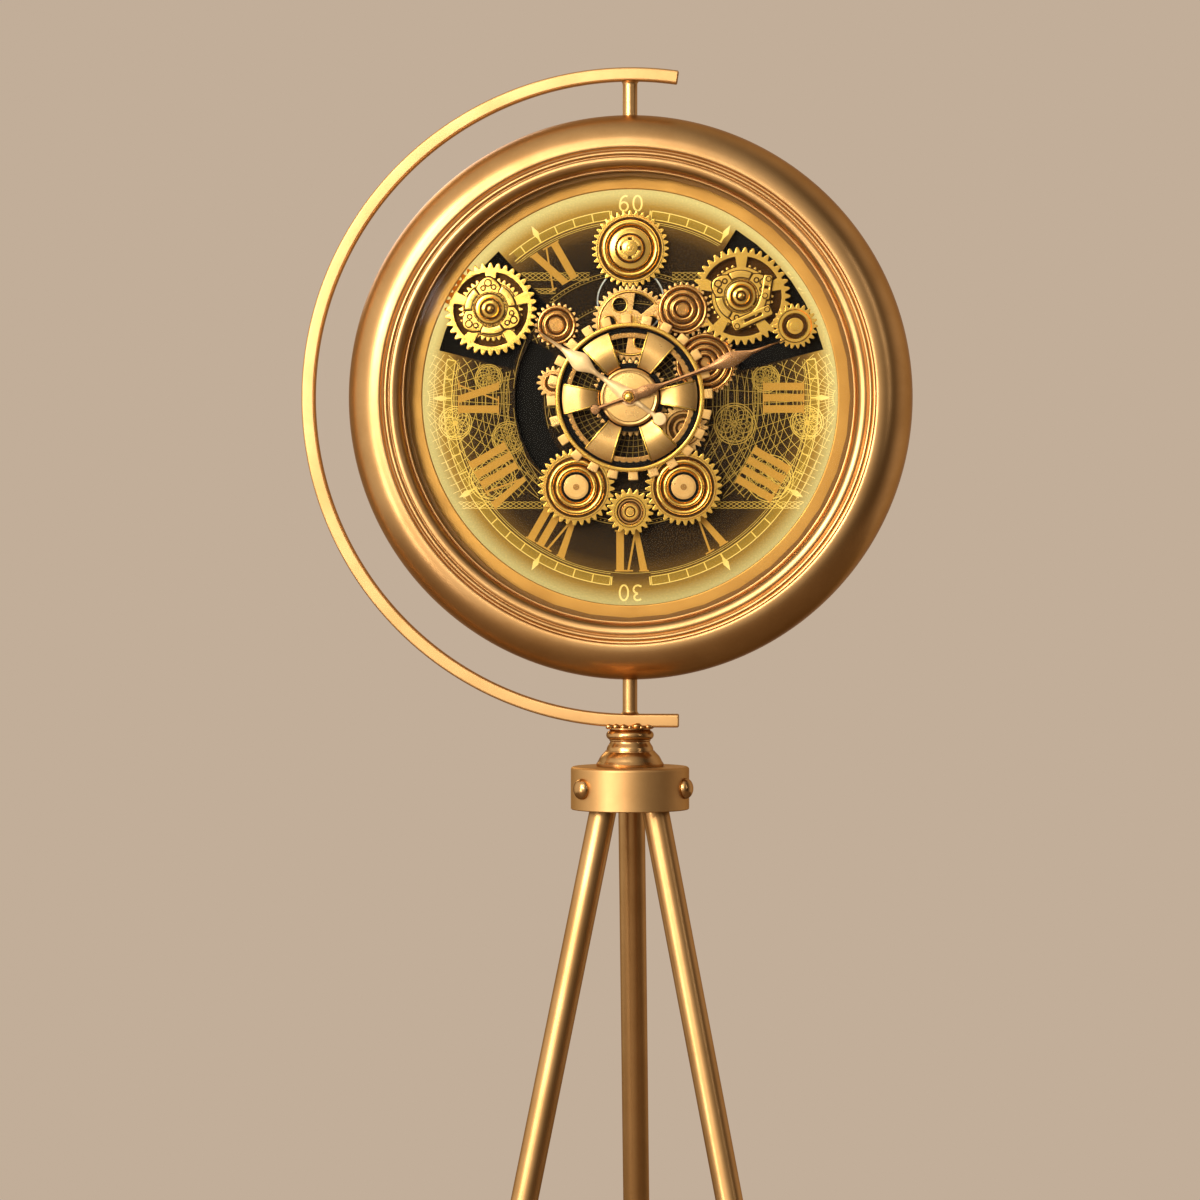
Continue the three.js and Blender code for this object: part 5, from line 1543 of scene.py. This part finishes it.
    def top(self, phase: float) -> None:
        """Makes the top gear: a plate with a lathe-cut drum, a slotted hub and fine rings."""
        spot = self.spot("top_gear")
        shape = bmesh.new()
        add_plate(shape, [Gear(36, self.rear_module, phase).outline()], *self.rear, 0.35)
        self.shaft(shape, self.rear[1])
        spot.fit("top_gear_plate", shape, POLISHED_GOLD, "top_gear")
        drum = [(0, -9), (27.6, -9), (27.6, -6.4), (27.0, -6.0), (26.0, -6.0), (25.6, -6.5), (24.2, -6.5)]
        drum += arc(21.4, -6.2, 2.6, 8, 172, 10) + [(18.7, -6.0), (17.4, -5.6)]
        drum += arc(16.2, -4.2, 1.1, -10, 90, 6)
        drum += [(14.2, -2.9), (12.6, -2.6), (12.2, -3.2), (11.2, -3.2), (10.8, -1.7), (10.2, -1.0), (8.9, -0.8),
                 (8.8, -1.9), (6.7, -1.9), (6.6, -0.7), (5.6, -0.3), (0, -0.3)]
        spot.turn("top_gear_drum", drum, SPUN_GOLD, sharp=26)
        spot.grooves("top_gear_grooves",
                     [(24.2, 25.8, -6.35), (17.4, 18.6, -5.5), (11.1, 12.3, -3.0), (6.6, 8.9, -1.7)])
        marks = bmesh.new()
        for k in range(4):
            add_plate(marks, [sector(6.6, 8.9, 90 * k + 12, 90 * k + 78, 8)], -1.9, -0.6, 0.1)
        add_turned(marks, stepped_profile(-0.4, [(3.4, 0.3), (1.8, 0.9)], 0.25), 32)
        spot.fit("top_gear_hub_marks", marks, SPUN_GOLD)

    def pinion(self, phase: float) -> None:
        """Makes the small drive pinion that shows through the wheel."""
        spot = self.spot("drive_pinion")
        shape = bmesh.new()
        add_plate(shape, [Gear(23, self.rear_module, phase).outline()], *self.rear)
        add_turned(shape, [(0, -27), (2.5, -27), (2.5, self.foot), (6, self.foot), (6, -8), (0, -8)], 32)
        spot.fit("pinion_plate", shape, ROSE_BRONZE, "drive_pinion")
        drum = [(0, -8), (14.6, -8), (14.6, -5.9), (13.6, -5.4), (11.9, -5.4), (11.6, -6.0), (8.8, -6.0),
                (8.8, -4.9), (8.2, -4.4), (6.6, -4.4), (6.3, -5.0), (4.6, -5.0), (4.6, -3.9), (4.1, -3.4),
                (2.4, -3.4), (2.1, -3.8), (0, -3.8)]
        spot.turn("pinion_drum", drum, DARK_BRONZE, segments=64, sharp=26)
        spot.grooves("pinion_grooves", [(8.9, 11.7, -5.85), (4.7, 6.4, -4.85), (0.0, 1.9, -3.65)])

    def lower(self, side: str, phase: float) -> None:
        """Makes one of the two lower gears: toothed plate, stepped rings, a black ring and a satin cap."""
        spot = self.spot(f"lower_{side}")
        shape = bmesh.new()
        add_plate(shape, [Gear(32, self.front_module, phase).outline()], *self.front, 0.35)
        self.shaft(shape, self.front[1])
        spot.fit(f"lower_gear_plate_{side}", shape, POLISHED_GOLD, f"lower_{side}_gear")
        drum = [(0, -3), (26.8, -3), (26.8, -0.8), (26.2, -0.3), (25.2, -0.3), (24.8, -0.8), (23.4, -0.8)]
        drum += arc(20.9, -0.6, 2.3, 8, 172, 10) + [(18.5, -0.4), (17.2, -0.2)]
        drum += arc(15.2, 0.6, 1.9, 0, 180, 10) + [(13.1, 0.4), (12.4, 1.2), (0, 1.2)]
        spot.turn(f"lower_gear_drum_{side}", drum, SPUN_GOLD, sharp=26)
        spot.grooves(f"lower_gear_grooves_{side}", [(23.3, 24.9, -0.65), (17.1, 18.6, -0.15)])
        spot.turn(f"lower_gear_seal_{side}", band(0, 12.3, 1.5, 1.75), BLACK_PAINT, segments=64)
        spot.turn(f"lower_gear_cap_{side}", stepped_profile(1.6, [(10.2, 2.6), (9.0, 2.9)]), SATIN_GOLD, segments=64)
        screw = bmesh.new()
        slotted_screw(screw, 2.6, 2.9, 0, 0, 35)
        spot.fit(f"lower_gear_screw_{side}", screw, DARK_BRONZE)

    def small(self, phase: float) -> None:
        """Makes the smallest lower gear: toothed plate, brown recess and a small boss."""
        spot = self.spot("lower_small")
        shape = bmesh.new()
        add_plate(shape, [Gear(19, self.front_module, phase).outline(), circle(11, 48)], *self.front, 0.35)
        add_turned(shape, [(10.6, -1.2), (13.0, -1.2), (13.0, -0.2), (12.4, 0.2), (11.2, 0.2), (10.6, -0.3)], 64)
        spot.fit("small_gear_plate", shape, POLISHED_GOLD, "lower_small_gear")
        core = bmesh.new()
        add_turned(core, [(0, -4.9), (11.1, -4.9), (11.1, -2.6), (7.2, -2.6), (7.0, -1.4), (0, -1.4)], 64)
        self.shaft(core, -4)
        spot.fit("small_gear_recess", core, DARK_BRONZE)
        boss = [(6.8, -1.5), (6.8, -0.6), (6.3, -0.1), (4.6, -0.1), (4.3, -0.6), (3.4, -0.6), (3.4, 0.5), (3.0, 0.9),
                (0, 1.0), (0, -1.5)]
        spot.turn("small_gear_boss", boss, SPUN_GOLD, segments=48, sharp=26)
        spot.grooves("small_gear_grooves", [(7.4, 9.0, -2.4), (9.9, 10.9, -2.4), (3.5, 4.4, -0.4)])


# Clusters at the sides


@dataclass
class Cluster:
    """Fixed ornamental gearing beside the wheel: a toothed ring, a bridge over it, small wheels and drums."""

    side: str
    x: float
    y: float
    teeth: int
    idler: tuple[float, float, int]
    idler_low: float
    drums: dict[str, tuple[float, float, float, float]]
    bridge_turn: float
    cocks: tuple[tuple[float, float, float, float, float], ...] = ()
    module: float = 2.05
    small_module: float = 1.6
    low: float = -9.0
    high: float = -6.0
    post: float = 4.2
    post_low: float = -18.0

    def build(self) -> None:
        """Makes and dresses the cluster."""
        self.wheel()
        self.bridge()
        self.small_gear()
        for name, sizes in self.drums.items():
            self.drum(name, *sizes)

    def wheel(self) -> None:
        """Makes the toothed ring with curved slots, the toothed ring behind them and painted shade behind the slots.
        """
        gear = Gear(self.teeth, self.module)
        root = gear.root_radius
        rim = root - 4
        spot = Spot(on_dial(self.x, self.y))
        slots = [sector(rim - 7.5, rim, 72 * k + 10, 72 * k + 62, 14) for k in range(5)]
        shape = bmesh.new()
        add_plate(shape, [gear.outline(), *slots], self.low + 0.8, self.high, 0.35)
        add_turned(shape, band(root - 1.6, root - 0.4, self.high - 0.1, self.high + 0.5), 96)
        add_turned(shape, [(0, self.post_low), (self.post, self.post_low), (self.post, self.low + 1),
                           (9.6, self.low + 1), (9.6, self.high + 1.7), (0, self.high + 1.7)], 40)
        spot.fit(f"cluster_wheel_{self.side}", shape, POLISHED_GOLD, f"{self.side}_wheel")
        back = bmesh.new()
        add_plate(back, [Gear(34, 1.5).outline(), circle(17, 64)], self.low - 1.4, self.low + 0.2)
        spot.fit(f"cluster_inner_{self.side}", back, SPUN_GOLD)
        # Painted shade: a nearly black disc behind the ring and outlines round its slots.
        seat = bmesh.new()
        add_plate(seat, [circle(root + 0.6, 96)], self.low - 3.2, self.low - 2.2, 0.1)
        shadows = [sector(rim - 8.3, rim + 0.8, 72 * k + 8.6, 72 * k + 63.4, 14) for k in range(5)]
        for outline, hole in zip(shadows, slots):
            add_plate(seat, [outline, hole], self.high - 0.1, self.high + 0.1, 0.0)
        spot.fit(f"cluster_slot_shade_{self.side}", seat, PAINTED_SHADE)

    def bridge(self) -> None:
        """Makes the polished bridge: a lobed plate, bright bars, a jewel in its setting and screws, with nearly black
        painted shade.
        """
        spot = Spot(on_dial(self.x, self.y, self.bridge_turn))
        low = self.high + 2.0
        high = low + 2.0
        sunk = high - 0.2
        shape, dark, trim = bmesh.new(), bmesh.new(), bmesh.new()
        add_plate(shape, [self.lobes(0.0)], low, high, 0.5)
        # Painted shade: nearly black outline under the plate, strips round the bars, discs under the screws, dots and
        # rings.
        add_plate(dark, [self.lobes(1.3)], self.high + 0.9, self.high + 1.7, 0.1)
        spot.fit(f"bridge_plate_{self.side}", shape, POLISHED_GOLD, f"{self.side}_bridge")
        for k in range(3):
            middle = 30 + 120 * k
            add_plate(dark, [sector(14.6, 21.4, middle - 31, middle + 31, 14)], high - 0.1, high + 0.12, 0.0)
            add_plate(trim, [sector(15.3, 20.7, middle - 27, middle + 27, 14)], sunk, high + 1.0, 0.45)
            for turn, reach, size in ((90, 21.4, 2.2), (76, 18.0, 1.3), (-16, 18.0, 1.3)):
                x, y = at_clock(reach, turn + 120 * k)
                add_turned(dark, band(0, size + 1.2, sunk, high + 0.15), 24, x, y)
                slotted_screw(trim, size, high + 0.3, x, y, 50 * k + turn)
        for clock in range(0, 360, 12):
            add_turned(dark, band(0, 0.62, high - 0.1, high + 1.15), 8, *at_clock(12.6, clock))
        for inner, outer, depth in ((7.2, 8.8, high + 0.2), (2.7, 3.9, high + 1.3), (13.6, 14.4, high + 0.12)):
            add_turned(dark, band(inner, outer, sunk, depth), 64)
        spot.fit(f"bridge_trim_{self.side}", trim, SPUN_GOLD, sharp=26)
        spot.fit(f"bridge_outline_shade_{self.side}", dark, PAINTED_SHADE, sharp=26)
        boss = bmesh.new()
        add_turned(boss, [(8.9, sunk), (13.4, sunk), (13.4, high + 0.6), (12.6, high + 1.0), (11.6, high + 1.7),
                          (9.9, high + 1.9), (8.9, high + 0.8)], 64)
        add_turned(boss, [(0, sunk), (7.1, sunk), (7.1, high + 0.9), (6.5, high + 1.7), (4.6, high + 2.1),
                          (3.8, high + 1.0), (2.7, high + 1.0), (2.6, high + 1.9), (1.4, high + 2.6),
                          (0, high + 2.8)], 48)
        spot.fit(f"bridge_jewel_setting_{self.side}", boss, SPUN_GOLD, sharp=26)
        if self.cocks:
            self.cock(high)

    def lobes(self, more: float) -> Loop:
        """Gives the outline of the three-lobed bridge, standing out all round by some more."""
        loop = []
        for k in range(120):
            a = 2 * math.pi * k / 120
            reach = 20.6 + 4.6 * math.cos(3 * a) + 0.8 * math.cos(6 * a) + more
            loop.append((reach * math.cos(a), reach * math.sin(a)))
        return loop

    def cock(self, low: float) -> None:
        """Makes the raised cocks on the bridge, each with a slot and screws over a nearly black seat of painted
        shade.

        Args:
            low: Depth of the bridge's front.
        """
        high = low + 1.9
        shape, under = bmesh.new(), bmesh.new()
        for x, y, long, wide, turn in self.cocks:
            sizes = ((long / 2, wide / 2, 1.6), (long * 0.26, 1.2, 1.0), (long / 2 + 0.9, wide / 2 + 0.9, 2.2))
            outline, slot, seat = [[spun(*point, -turn, (x, y)) for point in rounded_bar(*size)] for size in sizes]
            add_plate(shape, [outline, slot], low - 0.1, high, 0.5)
            add_plate(under, [seat], low - 0.1, low + 0.45, 0.05)
            for end in (-1, 1):
                middle = spun(end * (long / 2 - 3.0), end * (wide / 2 - 3.0), -turn, (x, y))
                add_turned(under, band(0, 2.5, high - 0.2, high + 0.1), 24, *middle)
                slotted_screw(shape, 1.7, high + 0.2, *middle, 40 * end + x)
        spot = Spot(on_dial(self.x, self.y))
        spot.fit(f"bridge_cocks_{self.side}", shape, POLISHED_GOLD)
        spot.fit(f"bridge_cock_shade_seats_{self.side}", under, PAINTED_SHADE)

    def small_gear(self) -> None:
        """Makes the small toothed wheel beside the ring."""
        x, y, teeth = self.idler
        low = self.idler_low
        gear = Gear(teeth, self.small_module)
        r = gear.root_radius
        spot = Spot(on_dial(x, y))
        shape = bmesh.new()
        add_plate(shape, [gear.outline()], low, low + 2.2, 0.3)
        ring = [(r * 0.9, low + 2.1), (r * 0.9, low + 2.6), (r * 0.84, low + 3.2), (r * 0.7, low + 3.2),
                (r * 0.64, low + 2.6), (r * 0.64, low + 2.1)]
        add_turned(shape, ring, 64)
        add_turned(shape, stepped_profile(low + 2.0, [(r * 0.44, low + 3.2), (r * 0.26, low + 4.2)]), 48)
        add_turned(shape, band(0, self.post, self.post_low, low + 1), 32)
        spot.grooves(f"small_wheel_groove_{self.side}", [(r * 0.43, r * 0.65, low + 2.35)])
        finish = POLISHED_GOLD if self.side == "right" else ROSE_BRONZE
        spot.fit(f"small_wheel_{self.side}", shape, finish, f"{self.side}_idler")

    def drum(self, name: str, x: float, y: float, radius: float, low: float) -> None:
        """Makes a lathe-cut drum of shallow grooved steps on its post, and the toothed ring round its back.

        Args:
            name: The CAD node that it replaces.
            x: Place to the right.
            y: Place upwards.
            radius: Radius of its widest step.
            low: Depth of its back.
        """
        spot = Spot(on_dial(x, y))
        shape = bmesh.new()
        profile: Loop = [(0, low), (radius, low), (radius, low + 1.2)]
        level, r, grooves = low + 1.4, radius, []
        while r > 8.5:
            profile += arc(r - 1.8, level, 1.7, 0, 165, 9) + [(r - 3.7, level - 0.3), (r - 5.2, level)]
            grooves.append((r - 4.9, r - 3.6, level + 0.02))
            r -= 5.2
            level += 1.0
        profile += [(r, level + 0.2), (r - 0.6, level + 0.9), (2.4, level + 0.9), (2.2, level + 0.3),
                    (0, level + 0.3)]
        add_turned(shape, profile, 72)
        spot.grooves(f"grooves_{name}", grooves)
        add_turned(shape, band(0, self.post, self.post_low, low + 1), 32)
        spot.fit(f"stepped_{name}", shape, DARK_BRONZE, name, sharp=26)
        cog = bmesh.new()
        teeth = max(12, round(2 * (radius + 1.2) / self.small_module))
        add_plate(cog, [Gear(teeth, self.small_module).outline()], low + 0.1, low + 1.3)
        spot.fit(f"cog_{name}", cog, ROSE_BRONZE)


# Hands


@dataclass
class Hand:
    """A leaf hand with a ridge along its middle, a round boss and a tail disc."""

    name: str
    clock: float
    low: float
    outline: Loop
    tail: float
    tail_radius: float
    boss_radius: float
    boss_low: float
    bore: float
    shaft: Loop
    finish: Finish
    thickness: float = 1.2

    def build(self) -> None:
        """Makes the hand as one piece."""
        shape = bmesh.new()
        add_loft(shape, [self.section(distance, half) for distance, half in self.stations()])
        high = self.low + self.thickness
        add_turned(shape, [(self.bore, self.boss_low), (self.boss_radius, self.boss_low),
                           (self.boss_radius, high - 0.4), (self.boss_radius - 0.5, high + 0.1),
                           (self.bore + 0.6, high + 0.25), (self.bore, high + 0.1)], 64)
        r = self.tail_radius
        add_turned(shape, [(0, self.low), (r - 0.3, self.low), (r, self.low + 0.3), (r, high - 0.5),
                           (r - 0.6, high), (0, high + 0.15)], 48, 0, -self.tail)
        add_turned(shape, self.shaft, 32)
        Spot(on_dial(0, 0, self.clock), f"{self.name}_body").fit(f"{self.name}_leaf", shape, self.finish, self.name,
                                                                 sharp=30)

    def stations(self) -> Loop:
        """Gives distance and half width along the hand, from the tail to the tip."""
        rear = [(-self.tail, self.tail_radius * 0.45), (-self.tail * 0.55, self.tail_radius * 0.32),
                (-self.boss_radius * 0.8, self.tail_radius * 0.5)]
        return eased([*rear, (self.boss_radius * 0.6, self.outline[0][1] + 0.6), *self.outline], 5)

    def section(self, distance: float, half: float) -> list[Vector]:
        """Gives the cross-section at a distance: flat below, ridged above."""
        wide = max(half, 0.3)
        ridge = self.low + self.thickness + min(0.5, 0.09 * wide)
        edge = self.low + self.thickness * 0.55
        right = [(wide * 0.9, self.low), (wide, self.low + 0.25), (wide, edge), (wide * 0.86, edge + 0.25)]
        outline = [(-x, z) for x, z in right] + [(0, ridge)] + right[::-1]
        return [Vector((x, distance, z)) for x, z in outline]


def build_hands() -> None:
    """Makes the hour hand, the minute hand and the dome nut that holds them."""
    hour_leaf = [(8, 5.4), (14, 4.4), (22, 2.5), (30, 1.9), (36, 2.4), (43, 5.6), (48, 7.8), (53, 6.9), (60, 4.2),
                 (70, 1.6), (95, 0.4)]
    Hand("hour_hand", clock=305.85, low=10.0, outline=hour_leaf, tail=30.5, tail_radius=5.7, boss_radius=7.5,
         boss_low=8.8, bore=1.95, shaft=band(1.95, 2.9, -18.5, 9.8), finish=PALE_ROSE).build()
    minute_leaf = [(8, 4.4), (15, 4.9), (22, 3.6), (30, 1.7), (50, 1.6), (70, 2.4), (80, 4.9), (87, 6.4), (94, 5.4),
                   (101, 3.4), (110, 1.4), (136, 0.4)]
    Hand("minute_hand", clock=70.0, low=13.0, outline=minute_leaf, tail=29.5, tail_radius=4.2, boss_radius=6.0,
         boss_low=11.5, bore=0.6, shaft=band(0, 1.6, -26.3, 12.5), finish=COPPER).build()
    nut = [(0, 14.45), (4.5, 14.45), (4.5, 15.2), (4.2, 15.5), *arc(0, 15.5, 4.2, 12, 84, 6, 2.2), (0, 17.7)]
    Spot(on_dial(), "minute_hand_body").turn("dome_nut", nut, POLISHED_GOLD, "hand_nut", segments=64, sharp=40)


# Works behind the dial


@dataclass
class Works:
    """Time movement, cell, motor, battery box and their controls, seen through the back cover."""

    knob: tuple[float, float] = (0.0, 10.0)
    box_drop: float = 105.0

    def build(self) -> None:
        """Dresses the works and adds their details."""
        keep_node("quartz_movement", BLACK_ABS, 0.8)
        keep_node("movement_cell", ZINC_STEEL, 0.4)
        keep_node("gear_motor", ZINC_STEEL, 0.5)
        keep_node("battery_box", BLACK_ABS, 0.8)
        keep_node("light_switch", BLACK_ABS, 0.3)
        self.knurled_knob()
        self.movement_trim()
        self.battery_lid()
        self.motor_trim()

    def knurled_knob(self) -> None:
        """Makes the setting knob with its grip ribs."""
        outline = [circle(5.9 if k % 2 else 5.35, 48)[k] for k in range(48)]
        shape = bmesh.new()
        add_plate(shape, [outline], -40.5, -36.7, 0.3)
        add_turned(shape, [(0, -41.0), (3.6, -41.0), (4.2, -40.5), (0, -40.4)], 40)
        Spot(on_dial(*self.knob), "setting_knob_body").fit("knurled_knob", shape, BLACK_ABS, "setting_knob")

    def movement_trim(self) -> None:
        """Adds the raised collar round the knob, corner bosses and cell contacts."""
        shape = bmesh.new()
        add_turned(shape, [(7.4, -36.2), (8.6, -36.2), (8.6, -37.4), (7.8, -37.6), (7.4, -37.4)], 48, *self.knob)
        for x in (-24.5, 24.5):
            for y in (-24.5, 24.5):
                add_turned(shape, [(0, -36.2), (2.2, -36.2), (2.2, -36.9), (1.6, -37.1), (0, -37.1)], 24, x, y)
        DIAL.fit("movement_bosses", shape, BLACK_ABS)
        contacts = bmesh.new()
        for x in (-25.2, 25.2):
            add_turned(contacts, band(0, 2.6, -30, -29.6), 24, x, -17)
            add_bar(contacts, 0.4, 8, -34, -24, 0, x, -17)
        DIAL.fit("cell_contacts", contacts, ZINC_STEEL)

    def battery_lid(self) -> None:
        """Adds the sliding lid with its parting step and grip ribs."""
        shape = bmesh.new()
        low, high = -38.4, -37.2
        lid = [(-29, -19), (29, -19), (29, 13), (-29, 13)]
        add_plate(shape, [[(x, y - self.box_drop) for x, y in lid]], low, high, 0.3)
        for k in range(6):
            add_bar(shape, 20 - 1.2 * k, 0.9, low - 0.5, low + 0.2, 0, 0, -self.box_drop + 8 - 2.2 * k)
        DIAL.fit("battery_lid", shape, BLACK_ABS)

    def motor_trim(self) -> None:
        """Adds the motor's end cap and its two terminals."""
        low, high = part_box("gear_motor")
        centre = (low + high) / 2 - AXIS
        x, y = centre.x / MM, centre.z / MM
        back = -(high.y - AXIS.y) / MM
        shape = bmesh.new()
        add_turned(shape, [(0, back + 0.2), (9.5, back + 0.2), (9.5, back - 1.2), (8.9, back - 1.6),
                           (3.2, back - 1.6), (3.0, back - 2.4), (0, back - 2.4)], 48)
        for side in (-5.4, 5.4):
            add_bar(shape, 2.4, 0.6, back - 4.2, back - 1.0, 90, side, 0)
        Spot(on_dial(x, y)).fit("motor_end_cap", shape, TURNED_BRASS)


def main() -> None:
    """Builds the studio and the clock, piece by piece."""
    logging.basicConfig(level=logging.INFO, format="%(message)s")
    bpy.context.scene.view_settings.view_transform = "Standard"
    Studio().build()
    Stand().build()
    Case().build()
    Dial().build()
    Train().build()
    Cluster("left", x=-115.0, y=73.0, teeth=36, idler=(-63.4, 12.4, 16), idler_low=-10.0,
            drums={"left_drum": (-61.0, 60.0, 16.4, -11.7)}, bridge_turn=25.0).build()
    Cluster("right", x=91.0, y=83.0, teeth=38, idler=(135.0, 58.3, 22), idler_low=-5.0,
            drums={"right_drum_upper": (43.2, 72.2, 20.5, -5.6), "right_drum_lower": (61.3, 28.8, 24.6, -11.7)},
            bridge_turn=-32.0, cocks=((9.0, -18.0, 34.0, 8.6, 24.0), (21.0, 7.0, 7.0, 20.0, -8.0))).build()
    build_hands()
    Works().build()


if __name__ == "__main__":
    main()
